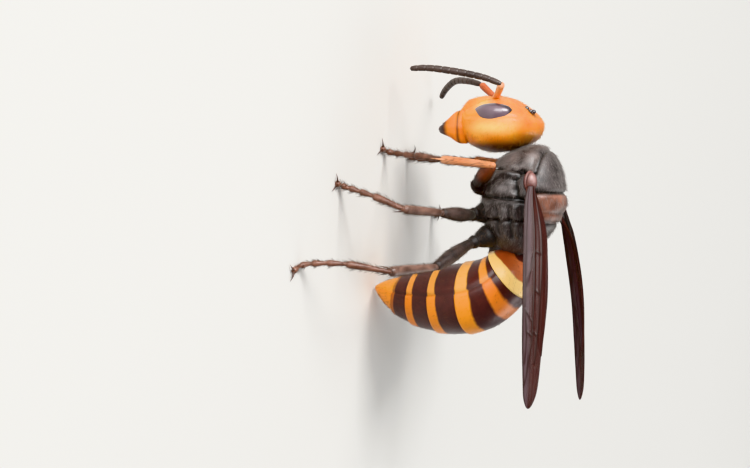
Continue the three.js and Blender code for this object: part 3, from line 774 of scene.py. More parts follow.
BEAD_RADIUS = 0.27
beads = bmesh.new()
for place in ((0, -9.6, 0.95), (0.5, -9.25, 1.55), (-0.5, -9.25, 1.55)):
    spot = Matrix.Translation(place)
    bmesh.ops.create_uvsphere(beads, u_segments=20, v_segments=14, radius=BEAD_RADIUS, matrix=spot)
paint(beads, "dark", lambda vert: 1.0)
finished(beads, "crown_bead_eyes", eye_material, STANCE, [])

# Jaws
# Two stout toothed blades of the hardest chitin, hinged under the cheeks, with long grooves. They are
# orange, and burnt dark brown at the teeth. The tongue is folded away between them, beside two palps.

JAW_CHITIN = orange_chitin("burnt_orange_jaw_chitin", "#ea8a26", "#d8741a", "#3a1a10")
TONGUE_CHITIN = orange_chitin("brown_mouth_chitin", "#7c4222", "#5a2c18", "#2a120b")

JAW_LINE = spine_through((2.3, -7.7, -5.0), (2.4, -7.6, -6.4), (1.7, -7.5, -7.6), (0.35, -7.4, -8.4))
JAW_WIDE = profile((0, 0.9), (0.3, 0.95), (0.6, 0.7), (0.85, 0.4), (1, 0.12))
JAW_DEEP = profile((0, 1.8), (0.2, 1.66), (0.4, 1.0), (0.7, 0.5), (1, 0.12))
for side, turn in SIDES.items():
    jaw = wrap(JAW_LINE, LEFTWARDS, JAW_WIDE, JAW_DEEP, JAW_DEEP, 48, 40)
    sculpt(jaw, lambda point: -0.07 * near(point.y + 8.0, 0.1) - 0.06 * near(point.y + 7.3, 0.1))
    for place in ((0.95, -7.25, -7.45), (1.1, -7.8, -7.3)):
        lie = Matrix.Translation(place) @ Matrix.Rotation(math.pi / 2, 4, "Y")
        bmesh.ops.create_cone(
            jaw, cap_ends=True, segments=16, radius1=0.06, radius2=0.3, depth=0.9, matrix=lie
        )
    paint(jaw, "dark", lambda vert: smooth(-vert.co.z, 6.6, 7.4) + 0.85 * near(vert.co.z + 5.6, 0.16))
    finished(jaw, "jaw_" + side, JAW_CHITIN, STANCE @ turn, ["mandible_" + side])

tongue = wrap(
    spine_through((0, -7.9, -5.4), (0, -7.5, -6.7), (0, -7.3, -7.7)),
    LEFTWARDS,
    profile((0, 2.0), (0.4, 1.6), (0.8, 0.9), (1, 0.2)),
    profile((0, 1.2), (0.5, 0.9), (1, 0.15)),
    profile((0, 1.2), (0.5, 0.8), (1, 0.15)),
    40,
    30,
)
sculpt(tongue, lambda point: -0.12 * near(abs(point.x) - 0.45, 0.12))
finished(tongue, "folded_tongue", TONGUE_CHITIN, STANCE, [])


def tube(line, side, thick, around, rings, spread=None):
    """A form that is round all along its line."""
    return wrap(line, side, thick, thick, thick, around, rings, spread=spread)


PALP_LINE = spine_through((0.75, -7.9, -6.2), (1.0, -7.9, -7.1), (0.8, -8.1, -7.8), (0.55, -8.2, -8.3))
PALP_THICK = profile((0, 0.13), (0.3, 0.09), (0.36, 0.12), (0.64, 0.08), (0.7, 0.11), (1, 0.03))
for side, turn in SIDES.items():
    palp = tube(PALP_LINE, LEFTWARDS, PALP_THICK, 14, 40)
    finished(palp, "palp_" + side, TONGUE_CHITIN, STANCE @ turn, [])

# Feelers
# Each has one long stiff joint, the scape, which bends out of its socket, and a whip of eleven short
# joints. The scape is orange and the whip dull dark brown, with a narrow waist where two joints meet.

# Lit and shaded copies of one orange: the left scape is drawn pinker and lighter as a painted highlight,
# the right one redder and darker as painted shade.
SCAPE_CHITIN = {
    "left": orange_chitin("scape_with_painted_highlight", "#e9a276", "#d0824e", "#7c3a1a"),
    "right": orange_chitin("scape_in_painted_shade", "#b8683e", "#9a4c2a", "#7c3a1a"),
}
WHIP_CHITIN = down_coated_chitin("dull_brown_feeler", "#2e1f1a", "#54423a", 0.5)
SCAPE_THICK = profile(
    (0, 0.27), (0.06, 0.2), (0.12, 0.3), (0.5, 0.34), (0.9, 0.38), (0.97, 0.33), (1, 0.16)
)
WHIP_THICK = profile(
    (0, 0.2), (0.05, 0.3), (0.1, 0.33), (0.5, 0.38), (0.9, 0.33), (0.985, 0.25), (1, 0.08)
)
FIRST_WHIP_JOINT = 0.13
WHIP_JOINT = 0.087
WHIP_ENDS = [0.0] + [FIRST_WHIP_JOINT + WHIP_JOINT * i for i in range(10)] + [1.0]


def waisted_whip(share):
    """The whip's thickness, drawn in where two of its joints meet."""
    closest = min(abs(share - end) for end in WHIP_ENDS)
    return WHIP_THICK(share) * (1 - 0.16 * near(closest, 0.006))


def feeler(side, socket, elbow, whip):
    """The scape runs from its socket to the elbow, and the whip from there through its own places."""
    scape = tube(spine_through(*socket, elbow), LEFTWARDS, SCAPE_THICK, 28, 40)
    finished(scape, "feeler_scape_" + side, SCAPE_CHITIN[side], STANCE, ["scape_" + side])
    skin = tube(spine_through(elbow, *whip), LEFTWARDS, waisted_whip, 24, 220)
    finished(skin, "feeler_whip_" + side, WHIP_CHITIN, STANCE, ["flagellum_" + side])


feeler(
    "left",
    socket=[(1.2, -10.2, -2.15), (1.32, -10.66, -2.1), (2.25, -11.0, -1.52)],
    elbow=(4.1, -12.0, -0.4),
    whip=[
        (4.3, -12.63, -2.0), (4.5, -13.05, -3.63), (4.8, -13.47, -5.78), (5.2, -13.8, -8.4),
        (5.4, -13.75, -10.1),
    ],
)
feeler(
    "right",
    socket=[(-1.2, -10.2, -2.15), (-1.32, -10.66, -2.25), (-1.95, -11.05, -3.35)],
    elbow=(-3.0, -12.4, -5.2),
    whip=[
        (-4.0, -12.84, -7.06), (-5.4, -12.95, -9.0), (-6.7, -12.4, -10.4), (-7.6, -11.8, -11.25),
        (-8.1, -11.3, -11.7),
    ],
)

# Abdomen
# Six hard rings that slide into each other like a telescope, hung from the waist and curled down and
# forward. They are glossy dark brown with orange and yellow bands, and the last one is all orange.

GASTER_LINE = spine_through(
    (0, 5.2, -0.1), (0, 7.9, -1.1), (0, 9.7, -3.4), (0, 10.4, -7.15), (0, 10.4, -10.2), (0, 10.1, -12.8),
    (0, 9.3, -16.1),
)
RING_ENDS = [0, 0.15, 0.425, 0.6, 0.745, 0.85, 1]
GASTER_DEPTH = profile(
    (0, 0.6), (0.04, 1.5), (0.09, 2.6), (0.16, 3.15), (0.3, 3.7), (0.43, 3.85), (0.52, 3.75), (0.675, 3.25),
    (0.8, 2.5), (0.9, 1.6), (0.96, 0.9), (1, 0.25),
)
# How far each ring reaches to its sides and down, against its reach up.
GASTER_WIDER = 1.15
GASTER_FLATTER = 0.94
# Each ring starts this share of the abdomen inside the one before, and its lip runs on past its end.
TUCK = 0.03
LIP = 0.05
RING_TILT = profile((0, -0.3), (0.15, -0.32), (0.28, -0.28), (0.42, -0.1), (0.6, 0), (1, 0))


def ring_line(share):
    """The abdomen's middle line, with the planes of its first rings leant further under."""
    place, direction = GASTER_LINE(share)
    return place, Matrix.Rotation(RING_TILT(share), 3, "X") @ direction


def banded_chitin(name, bands, belly_from, belly_to, belly_shift):
    """Glossy dark chitin with its bands grown into the shell, which keeps them crisp and a little wavy.

    A band has its start, its end, its colour on the back and its colour on the belly. The belly begins
    between belly_from and belly_to of a turn from the back, and its bands lie belly_shift further back.
    """
    material = new_material(name)
    ring_map = add_node(material, "UVMap", uv_map="UVMap")
    place = add_node(material, "SeparateXYZ", {"Vector": ring_map.outputs[0]})
    coords = add_node(material, "TexCoord")
    in_mm = add_node(material, "Mapping", {"Vector": coords.outputs["Object"], "Scale": TO_MM})
    # The bands' edges waver every 1.7 mm or so.
    waver = add_node(material, "TexNoise", {"Vector": in_mm.outputs[0], "Scale": 1 / 1.67, "Detail": 3.0})
    turned = add_node(material, "Math", {0: place.outputs["X"], 1: 0.5}, operation="SUBTRACT")
    from_back = add_node(material, "Math", {0: turned.outputs[0]}, operation="ABSOLUTE")
    belly = add_node(
        material, "MapRange",
        {"Value": from_back.outputs[0], "From Min": belly_from, "From Max": belly_to},
        interpolation_type="SMOOTHSTEP",
    )
    wavy = add_node(
        material, "Math", {0: waver.outputs[0], 1: 0.08, 2: place.outputs["Y"]}, operation="MULTIPLY_ADD"
    )
    along = add_node(
        material, "Math", {0: belly.outputs[0], 1: -belly_shift, 2: wavy.outputs[0]},
        operation="MULTIPLY_ADD",
    )
    cloud = add_node(material, "TexNoise", {"Vector": in_mm.outputs[0], "Scale": 1 / 0.91, "Detail": 4.0})
    shell = add_node(
        material, "Mix", {0: cloud.outputs[0], 6: srgb("#341a18"), 7: srgb("#552a24")}, data_type="RGBA"
    )
    colour = shell.outputs[2]
    for start, end, shade, belly_shade in bands:
        rising, falling = (
            add_node(
                material, "MapRange",
                {
                    "Value": along.outputs[0], "From Min": edge + 0.01, "From Max": edge + 0.07,
                    "To Min": before, "To Max": 1 - before,
                },
                interpolation_type="SMOOTHSTEP",
            )
            for edge, before in ((start, 0.0), (end, 1.0))
        )
        inside = add_node(
            material, "Math", {0: rising.outputs[0], 1: falling.outputs[0]}, operation="MULTIPLY"
        )
        paler = add_node(
            material, "Mix", {0: belly.outputs[0], 6: srgb(shade), 7: srgb(belly_shade)},
            data_type="RGBA",
        )
        mixed = add_node(
            material, "Mix", {0: inside.outputs[0], 6: colour, 7: paler.outputs[2]}, data_type="RGBA"
        )
        colour = mixed.outputs[2]
    furrow = add_node(material, "Attribute", attribute_name="dark")
    shaded = add_node(
        material, "Mix", {0: furrow.outputs["Fac"], 6: colour, 7: srgb("#2c1410")}, data_type="RGBA"
    )
    # Hair pits about 0.2 mm apart.
    pores = add_node(material, "TexVoronoi", {"Vector": in_mm.outputs[0], "Scale": 1 / 0.2})
    relief = add_node(
        material, "Bump", {"Height": pores.outputs["Distance"], "Strength": 0.12, "Distance": 0.00005}
    )
    shader = add_node(
        material,
        "BsdfPrincipled",
        {
            "Base Color": shaded.outputs[2],
            "Roughness": 0.34,
            "IOR": 1.52,
            "Subsurface Weight": 0.06,
            "Subsurface Radius": (0.0005, 0.0002, 0.0001),
            "Normal": relief.outputs[0],
        },
    )
    add_node(material, "OutputMaterial", {"Surface": shader.outputs[0]})
    return material


BANDS = [
    [(0.25, 0.72, "#b0643e", "#9a4a2a"), (0.72, 1.3, "#f4cd84", "#f2c678")],
    [(0.15, 0.37, "#dc7c2c", "#d98a34"), (0.71, 1.3, "#ee9424", "#e9a448")],
    [(0.7, 1.3, "#e5881e", "#e2983e")],
    [(0.68, 1.3, "#dd7e1a", "#d98c36")],
    [(0.8, 1.3, "#a85c1e", "#a86a2c")],
    [(-1.0, 2.0, "#e98d20", "#e6942a")],
]
RING_DOWN = hair_chitin("short_rusty_down", "#4a2c1e", "#86583a")
# The back plate of a ring reaches this share of a turn down each flank, to a furrow.
BACK_PLATE = 0.274
PLAIN_BELLY = (0.268, 0.28, 0.045)
# The first ring shows no belly plate: its yellow band only widens towards the belly.
WAIST_BELLY = (0.1, 0.3, -0.2)


def abdomen_ring(number, bands, start, end):
    """One ring between two shares of the abdomen, with its furrows, bands and down."""
    first = number == 1
    last = number == len(BANDS)
    skin_start = max(start - TUCK, 0.0)
    skin_end = end if last else end + LIP * (end - start)

    def swell(share):
        """How far the skin stands off the plain form: sunk at its front, flared at its hind edge."""
        t = (share - start) / (end - start)
        flare = 0.0 if last else 0.16 * max(t, 0.0) ** 2 - 0.3 * smooth(t, 0.985, 1.05)
        return flare - 0.22 * smooth(-t, -0.03, 0.04)

    def reach(stretch):
        return lambda share: stretch * GASTER_DEPTH(share) + swell(share)

    ring = wrap(
        ring_line, LEFTWARDS, reach(GASTER_WIDER), reach(1), reach(GASTER_FLATTER), 96,
        72 if number == 2 else 48, start=skin_start, end=skin_end,
    )
    layer = ring.loops.layers.uv.active
    for face in ring.faces:
        for loop in face.loops:
            share = skin_start + (skin_end - skin_start) * loop[layer].uv.y
            loop[layer].uv.y = (share - start) / (end - start)

    def furrow(vert):
        turn = vert.link_loops[0][layer].uv.x
        return 0.0 if first or last else near(abs(turn - 0.5) - BACK_PLATE, 0.008)

    ring.normal_update()
    for vert, move in [(vert, vert.normal * -0.13 * furrow(vert)) for vert in ring.verts]:
        vert.co += move
    paint(ring, "dark", lambda vert: 0.45 * furrow(vert))
    name = f"abdomen_ring_{number}"
    belly = WAIST_BELLY if first else PLAIN_BELLY
    material = banded_chitin(f"banded_chitin_ring_{number}", bands, *belly)
    piece = finished(ring, name, material, STANCE, [f"gaster_{number}"])
    _, tangent = GASTER_LINE((start + end) / 2)
    way = (STANCE.to_3x3() @ tangent).normalized()
    grow(name + "_down", piece, 700, 0.3, 0.01, 0.35, way, RING_DOWN, 29 + number)


for number, bands in enumerate(BANDS, 1):
    abdomen_ring(number, bands, RING_ENDS[number - 1], RING_ENDS[number])

# Legs
# Six jointed tubes of chitin: a stout root joint, the thigh, the shin with its spurs, and the foot of
# five short joints with two claws. The fore legs are rusty orange, and the others dark brown with
# paler shins. Roots, knees and thighs are places on the body, and feet are places over the floor.

FORE_SHIN_CHITIN = orange_chitin("rusty_fore_leg_chitin", "#dc9a70", "#c27c52", "#3a1a10")
FORE_THIGH_CHITIN = orange_chitin("rusty_brown_thigh_chitin", "#8e4c2c", "#6e3420", "#20110e")
LEG_BRISTLES = hair_chitin("dark_leg_bristles", "#2c201b", "#6c5648")
THIGH_CHITIN = down_coated_chitin("dark_leg_chitin", "#1e1412", "#4a3832", 0.8, "#120d0c", 0.6)
SHIN_CHITIN = down_coated_chitin("brown_shin_chitin", "#4c342b", "#8c6a5c", 0.8)
FOOT_CHITIN = down_coated_chitin("brown_foot_chitin", "#5a3628", "#865c4a", 0.7)
CLAW_CHITIN = orange_chitin("dark_claw_chitin", "#4a2c1e", "#30190f", "#1c0f0a")
BACKWARDS = Vector((0, 1, 0))
TO_FLOOR_FRAME = FLOOR_FRAME.inverted() @ STANCE


def leg_tube(points, thick, around, rings):
    """A leg joint through its places, with both ends rounded over."""
    length = sum((b - a).length for a, b in zip(points, points[1:]))

    def rounded(share):
        full = thick(share)
        inset = 1 - min(1.0, min(share, 1 - share) * length / full)
        return full * math.sqrt(max(0.002, 1 - inset**2))

    return tube(spine_through(*points), BACKWARDS, rounded, around, rings, closer_at_ends)


FOOT_ENDS = [0.0, 0.42, 0.6, 0.74, 0.85, 1.0]
FOOT_THIN = 0.2


def foot_thick(share):
    """Each of the five foot joints widens to its far end and draws in where the next one starts."""
    for start, end in zip(FOOT_ENDS, FOOT_ENDS[1:]):
        if share <= end:
            t = (share - start) / (end - start)
            stouter = 0.05 if start == 0 else 0
            return (FOOT_THIN + 0.14 * smooth(t, 0.0, 0.9)) * (1 - 0.35 * near(t - 1, 0.05)) + stouter
    return FOOT_THIN


def horn(points, radius):
    """A pointed hook or spur along a curve."""
    return tube(spine_through(*points), BACKWARDS, lambda share: radius * (1 - 0.92 * share), 8, 10)


def knuckle(place, radius):
    """The round end of one leg joint, which sits in a cup in the next."""
    ball = bmesh.new()
    bmesh.ops.create_uvsphere(ball, u_segments=18, v_segments=12, radius=radius)
    bmesh.ops.translate(ball, verts=ball.verts, vec=place)
    return ball


def join(parts):
    """Several separate closed forms as one mesh."""
    whole = bmesh.new()
    for part in parts:
        mesh = bpy.data.meshes.new("part")
        part.to_mesh(mesh)
        part.free()
        whole.from_mesh(mesh)
        bpy.data.meshes.remove(mesh)
    return whole


def shin_spurs(knee, ankle, count):
    """Short spurs near the end of a shin, on its inner side."""
    down = (ankle - knee).normalized()
    rear = (BACKWARDS - down * down.y).normalized()
    inner = down.cross(rear).normalized()
    if inner.z > 0:
        inner.negate()
    spurs = []
    for i in range(count):
        aside = (inner + rear * (0 if count == 1 else i - 0.5)).normalized()
        start = ankle - down * 0.75 + aside * 0.15
        bend = start + down * 0.45 + aside * 0.5
        point = start + down * 1.3 + aside * 0.95
        spurs.append(horn([start, bend, point], 0.13))
    return spurs


def foot_claws(before, tip):
    """Two curved claws that spread from the last foot joint and point down to the floor."""
    ahead = (tip - before).normalized()
    aside = Vector((-ahead.y, ahead.x, 0))
    claws = []
    for way in (-1, 1):
        bend = tip + ahead * 0.3 + aside * way * 0.5
        bend.z = 0.34
        point = tip + ahead * 0.45 + aside * way * 0.95
        point.z = 0.16
        claws.append(horn([tip - ahead * 0.3, bend, point], 0.15))
    return join(claws)


KNEE_BALL = 0.34
ANKLE_BALL = 0.26
# The last foot joints are flat underneath, where they rest on the floor.
SOLE = -UNDER_THORAX.z


def leg(name, kind, root, knee, ankle, foot):
    """A leg of one of the three kinds, from its root joint's places to its foot's."""
    root = [TO_FLOOR_FRAME @ Vector(point) for point in root]
    knee = TO_FLOOR_FRAME @ Vector(knee)
    ankle = TO_FLOOR_FRAME @ Vector(ankle)
    foot = [Vector(point) for point in foot]
    thigh = leg_tube([*root, knee], profile(*kind["thigh_thick"]), 40, 110)
    paint(thigh, "dark", lambda vert: 1 - smooth((vert.co - root[0]).length, 2.6, 5.2))
    thigh = finished(thigh, name + "_thigh", kind["thigh"], FLOOR_FRAME, [name + "_femur"])
    shin = leg_tube([knee, ankle], profile(*kind["shin_thick"]), 32, 60)
    shin = join([shin, knuckle(knee, KNEE_BALL), *shin_spurs(knee, ankle, kind["spurs"])])
    shin = finished(shin, name + "_shin", kind["shin"], FLOOR_FRAME, [name + "_tibia"])
    claws = foot_claws(*foot[-2:])
    sole = join([leg_tube([ankle, *foot], foot_thick, 20, 120), knuckle(ankle, ANKLE_BALL)])
    for vert in sole.verts:
        vert.co.z = max(vert.co.z, SOLE)
    sole = finished(sole, name + "_foot", FOOT_CHITIN, FLOOR_FRAME, [name + "_tarsus"])
    finished(claws, name + "_claws", CLAW_CHITIN, FLOOR_FRAME, [])
    seed = 40 + len(name) + int(abs(ankle.x) * 10)
    way = (knee - root[-1]).normalized()
    grow(name + "_thigh_down", thigh, 900, 0.35, 0.014, 0.4, way, LEG_BRISTLES, seed)
    way = (ankle - knee).normalized()
    grow(name + "_shin_down", shin, 420, 0.42, 0.015, 0.4, way, LEG_BRISTLES, seed + 1)
    way = (foot[2] - ankle).normalized()
    grow(name + "_foot_down", sole, 520, 0.45, 0.016, 0.5, way, LEG_BRISTLES, seed + 2)


FORELEG = {
    "slot": "foreleg_cuticle",
    "thigh": FORE_THIGH_CHITIN,
    "shin": FORE_SHIN_CHITIN,
    "thigh_thick": [
        (0, 1.15), (0.12, 1.15), (0.2, 0.86), (0.235, 0.66), (0.25, 0.58), (0.27, 0.7), (0.31, 0.66),
        (0.335, 0.5), (0.36, 0.56), (0.65, 0.76), (0.92, 0.55), (1, 0.5),
    ],
    "shin_thick": [(0, 0.36), (0.5, 0.42), (1, 0.44)],
    "spurs": 1,
}
MIDLEG = {
    "slot": "leg_cuticle",
    "thigh": THIGH_CHITIN,
    "shin": SHIN_CHITIN,
    "thigh_thick": [
        (0, 1.2), (0.1, 1.2), (0.17, 0.95), (0.235, 0.66), (0.25, 0.56), (0.27, 0.68), (0.31, 0.64),
        (0.335, 0.46), (0.36, 0.52), (0.65, 0.72), (0.92, 0.52), (1, 0.48),
    ],
    "shin_thick": [(0, 0.36), (0.5, 0.45), (1, 0.46)],
    "spurs": 2,
}
HINDLEG = {
    **MIDLEG,
    "thigh_thick": [
        (0, 1.2), (0.1, 1.22), (0.17, 1.0), (0.235, 0.68), (0.25, 0.58), (0.27, 0.7), (0.31, 0.64),
        (0.335, 0.46), (0.36, 0.52), (0.7, 0.74), (0.92, 0.54), (1, 0.5),
    ],
    "shin_thick": [(0, 0.36), (0.6, 0.5), (1, 0.54)],
}
leg(
    "foreleg_left", FORELEG,
    root=[(1.7, -1.7, -2.2), (2.5, -1.4, -3.6), (4.2, -2.2, -2.6)],
    knee=(7, -3.5, -0.35),
    ankle=(5.5, -4.2, -6.6),
    foot=[(4.6, -2.9, 5), (3.7, -2.75, 2.6), (3.2, -2.7, 0.7), (3.7, -2.8, 0.27), (4.5, -3.05, 0.27)],
)
leg(
    "foreleg_right", FORELEG,
    root=[(-1.7, -1.7, -2.2), (-2.5, -1.4, -3.6), (-4.2, -2.3, -2.6)],
    knee=(-6.9, -3.6, -0.6),
    ankle=(-5.3, -4.4, -6.9),
    foot=[(-4.6, -2.7, 4.9), (-3.9, -2.4, 2.5), (-3.5, -2.3, 0.7), (-4.0, -2.4, 0.27), (-4.8, -2.6, 0.27)],
)
leg(
    "midleg_left", MIDLEG,
    root=[(1.7, 1.2, -2.2), (2.6, 1.5, -3.8), (4.2, 1.6, -4.0)],
    knee=(8.5, 1.4, -5.4),
    ankle=(13, 1.05, -7.9),
    foot=[(13.4, 1.75, 4.4), (13.6, 1.35, 1.9), (13.8, 1.2, 0.7), (14.3, 1.05, 0.27), (15.2, 0.9, 0.27)],
)
leg(
    "midleg_right", MIDLEG,
    root=[(-1.7, 1.2, -2.2), (-2.6, 1.5, -3.8), (-4.2, 1.7, -4.0)],
    knee=(-8.5, 1.8, -5.4),
    ankle=(-13, 1.9, -7.9),
    foot=[(-13.4, 3.4, 4.4), (-13.6, 3.7, 1.9), (-13.8, 3.8, 0.7), (-14.3, 3.85, 0.27), (-15.2, 3.8, 0.27)],
)
leg(
    "hindleg_left", HINDLEG,
    root=[(1.8, 3.4, -1.8), (2.8, 4.2, -3.3), (3.9, 4.6, -3.95)],
    knee=(9.5, 7.0, -5.7),
    ankle=(16.5, 7.4, -8.0),
    foot=[(19, 8.58, 3.97), (20.1, 8.9, 1.8), (20.8, 9.2, 0.7), (21.5, 9.5, 0.27), (22.7, 9.99, 0.27)],
)
leg(
    "hindleg_right", HINDLEG,
    root=[(-1.8, 3.4, -1.8), (-2.8, 4.2, -3.3), (-3.9, 4.6, -3.95)],
    knee=(-9.4, 7.3, -5.7),
    ankle=(-16.2, 8.0, -8.1),
    foot=[
        (-18.6, 9.5, 3.9), (-19.7, 10.0, 1.8), (-20.4, 10.3, 0.7), (-21.1, 10.7, 0.27),
        (-22.2, 11.3, 0.27),
    ],
)

# Wings
# Folded lengthwise into narrow strips at rest: a smoky red-brown film stretched on hard dark veins,
# with the hind wing tucked under the fore wing's inner edge, and a glossy scale over each root.

WING_LONG = 23.0
WING_WIDE = 2.6
WING_FILM = 0.07
VEIN_WIDE = 0.11
VEIN_HIGH = 0.07
# How steeply the folded wing stands against the level, from root to tip.
WING_SLOPE = profile((0, 0.35), (0.25, 0.8), (1, 0.86))


def to_vein(share, column, vein):
    """How far a place on the wing lies from a vein, in millimetres."""
    places = [Vector((along * WING_LONG, across * WING_WIDE)) for along, across in vein]
    spot = Vector((share * WING_LONG, column * WING_WIDE))
    distances = []
    for start, end in zip(places, places[1:]):
        run = end - start
        t = min(max((spot - start).dot(run) / run.length_squared, 0.0), 1.0)
        distances.append((spot - start - run * t).length)
    return min(distances)


def wing(edge, width, drop, inset, veins, length_steps, across_steps, tip_starts):
    """A rippled film behind its front edge, with its veins raised and its tip rounded.

    drop is how far it lies under that edge's level, and inset how far it starts behind it.
    """
    bm = bmesh.new()
    bm.loops.layers.uv.new("UVMap")
    bmesh.ops.create_grid(bm, x_segments=across_steps, y_segments=length_steps, size=0.5, calc_uvs=True)
    vein_layer = bm.verts.layers.float.new("vein")
    for vert in bm.verts:
        share, column = vert.co.y + 0.5, vert.co.x + 0.5
        rounding = math.sqrt(max(0.0, 1 - max(0.0, (share - tip_starts) / (1 - tip_starts)) ** 2))
        slope = WING_SLOPE(share)
        inward = Vector((-math.cos(slope), 0, math.sin(slope)))
        up = Vector((math.sin(slope), 0, math.cos(slope)))
        closest = min(to_vein(share, column, vein) for vein in veins)
        ridge = near(closest, VEIN_WIDE)
        # About five small folds run along the wing, and an arch stiffens it across.
        ripple = 0.03 * math.sin(column * 31 + 2 * math.sin(share * 5)) * smooth(share, 0.1, 0.5)
        arch = 0.3 * math.sin(math.pi * column)
        rise = (arch + ripple + VEIN_HIGH * ridge) * rounding - drop
        place, _ = edge(share)
        across = 0.5 + (column - 0.5) * rounding
        vert.co = place + inward * (inset + across * width(share)) + up * rise
        vert[vein_layer] = ridge
    bmesh.ops.remove_doubles(bm, verts=bm.verts, dist=MERGE_WITHIN)
    bmesh.ops.recalc_face_normals(bm, faces=bm.faces)
    bmesh.ops.solidify(bm, geom=bm.faces[:], thickness=WING_FILM)
    bmesh.ops.recalc_face_normals(bm, faces=bm.faces)
    return bm


# Chitin film a few hundredths of a millimetre thick: amber brown, half clear and satin, with faint
# streaks about 0.6 mm apart along it and nearly black veins.
wing_material = new_material("smoky_wing_film")
vein_mask = add_node(wing_material, "Attribute", attribute_name="vein")
coords = add_node(wing_material, "TexCoord")
streaked = add_node(
    wing_material, "Mapping", {"Vector": coords.outputs["Object"], "Scale": (1 / MM, 0.12 / MM, 1 / MM)}
)
streaks = add_node(
    wing_material, "TexNoise", {"Vector": streaked.outputs[0], "Scale": 1 / 0.625, "Detail": 4.0}
)
film = add_node(
    wing_material, "Mix", {0: streaks.outputs[0], 6: srgb("#2a120f"), 7: srgb("#47221c")}, data_type="RGBA"
)
# The front edge is a thicker strip between strong veins, drawn greyer as a painted reflection.
wing_map = add_node(wing_material, "UVMap", uv_map="UVMap")
across_wing = add_node(wing_material, "SeparateXYZ", {"Vector": wing_map.outputs[0]})
front_strip = add_node(
    wing_material, "MapRange",
    {"Value": across_wing.outputs["X"], "From Min": 0.18, "From Max": 0.42, "To Min": 0.6, "To Max": 0.0},
    interpolation_type="SMOOTHSTEP",
)
strip = add_node(
    wing_material, "Mix", {0: front_strip.outputs[0], 6: film.outputs[2], 7: srgb("#55444a")},
    data_type="RGBA",
)
wing_colour = add_node(
    wing_material, "Mix", {0: vein_mask.outputs["Fac"], 6: strip.outputs[2], 7: srgb("#2c1a16")},
    data_type="RGBA",
)
opacity = add_node(
    wing_material, "MapRange", {"Value": vein_mask.outputs["Fac"], "To Min": 0.84, "To Max": 1.0}
)
wing_relief = add_node(
    wing_material, "Bump", {"Height": streaks.outputs[0], "Strength": 0.3, "Distance": 0.00006}
)
shader = add_node(
    wing_material,
    "BsdfPrincipled",
    {
        "Base Color": wing_colour.outputs[2],
        "Roughness": 0.48,
        "IOR": 1.42,
        "Alpha": opacity.outputs[0],
        "Normal": wing_relief.outputs[0],
    },
)
add_node(wing_material, "OutputMaterial", {"Surface": shader.outputs[0]})

# Each vein runs through shares of the wing's length and width, from the root and the front edge.
FORE_VEINS = [
    [(0.0, 0.03), (1.0, 0.03)],
    [(0.0, 0.12), (0.3, 0.13), (0.55, 0.1)],
    [(0.0, 0.42), (0.3, 0.42), (0.38, 0.3), (0.46, 0.13)],
    [(0.3, 0.42), (0.5, 0.44), (0.7, 0.42), (0.85, 0.2), (0.9, 0.05)],
    [(0.0, 0.72), (0.4, 0.72), (0.62, 0.7), (0.8, 0.6)],
    [(0.56, 0.1), (0.6, 0.3), (0.62, 0.43)],
    [(0.66, 0.18), (0.68, 0.42)],
    [(0.56, 0.12), (0.68, 0.2), (0.8, 0.1)],
    [(0.47, 0.44), (0.5, 0.71)],
    [(0.3, 0.42), (0.32, 0.72)],
    [(0.66, 0.43), (0.68, 0.68)],
]
HIND_VEINS = [
    [(0.0, 0.08), (1.0, 0.08)],
    [(0.0, 0.5), (0.5, 0.5), (0.9, 0.4)],
    [(0.45, 0.08), (0.5, 0.5)],
]
FORE_EDGE = spine_through(
    (4.4, -1.4, 2.75), (5.2, 0, 2.7), (6.4, 5.3, 2.95), (7.3, 10.5, 3.18), (7.6, 14.7, 3.25),
    (7.65, 21.5, 3.4),
)
FORE_WIDTH = profile(
    (0, 1.0), (0.08, 2.0), (0.2, 2.65), (0.35, 2.8), (0.52, 2.65), (0.74, 2.2), (0.9, 1.7), (1, 1.1)
)
HIND_EDGE = spine_through(
    (4.4, 0.8, 2.75), (6.4, 5.3, 2.95), (7.3, 10.5, 3.18), (7.5, 14.2, 3.4), (7.2, 16.2, 3.6)
)
HIND_WIDTH = profile((0, 0.6), (0.15, 1.1), (0.3, 1.4), (0.6, 1.45), (0.8, 1.1), (1, 0.5))
# The right pair is held about 2 degrees higher than the left one.
HELD_UP = {"left": Matrix.Identity(4), "right": Matrix.Rotation(0.035, 4, "X")}
for side, turn in SIDES.items():
    held = STANCE @ turn @ HELD_UP[side]
    fore = wing(FORE_EDGE, FORE_WIDTH, 0.0, -0.22, FORE_VEINS, 230, 40, 0.93)
    finished(fore, "fore_wing_" + side, wing_material, held, ["forewing_" + side])
    hind = wing(HIND_EDGE, HIND_WIDTH, 0.32, 1.3, HIND_VEINS, 150, 28, 0.78)
    finished(hind, "hind_wing_" + side, wing_material, held, ["hindwing_" + side])

# Wing scale chitin, with painted shade in its dark colour and a painted highlight in its pale one.
SCALE_CHITIN = orange_chitin("glossy_wing_scale", "#7c5650", "#5e3c38", "#2a1816", glow="#a88a86")


def painted_scale_shade(vert):
    """Painted shade in the groove inside the rim, and at the pressed-in hind end."""
    return 0.6 * near(vert.co.z - 0.28, 0.1) + 0.8 * smooth(vert.co.y, 0.35, 0.9)


def painted_scale_highlight(vert):
    """Painted highlight: paler on top, where the scale swells."""
    return 0.8 * near(math.hypot(vert.co.x - 0.1, vert.co.y + 0.25), 0.45) * smooth(vert.co.z, 0.2, 0.7)


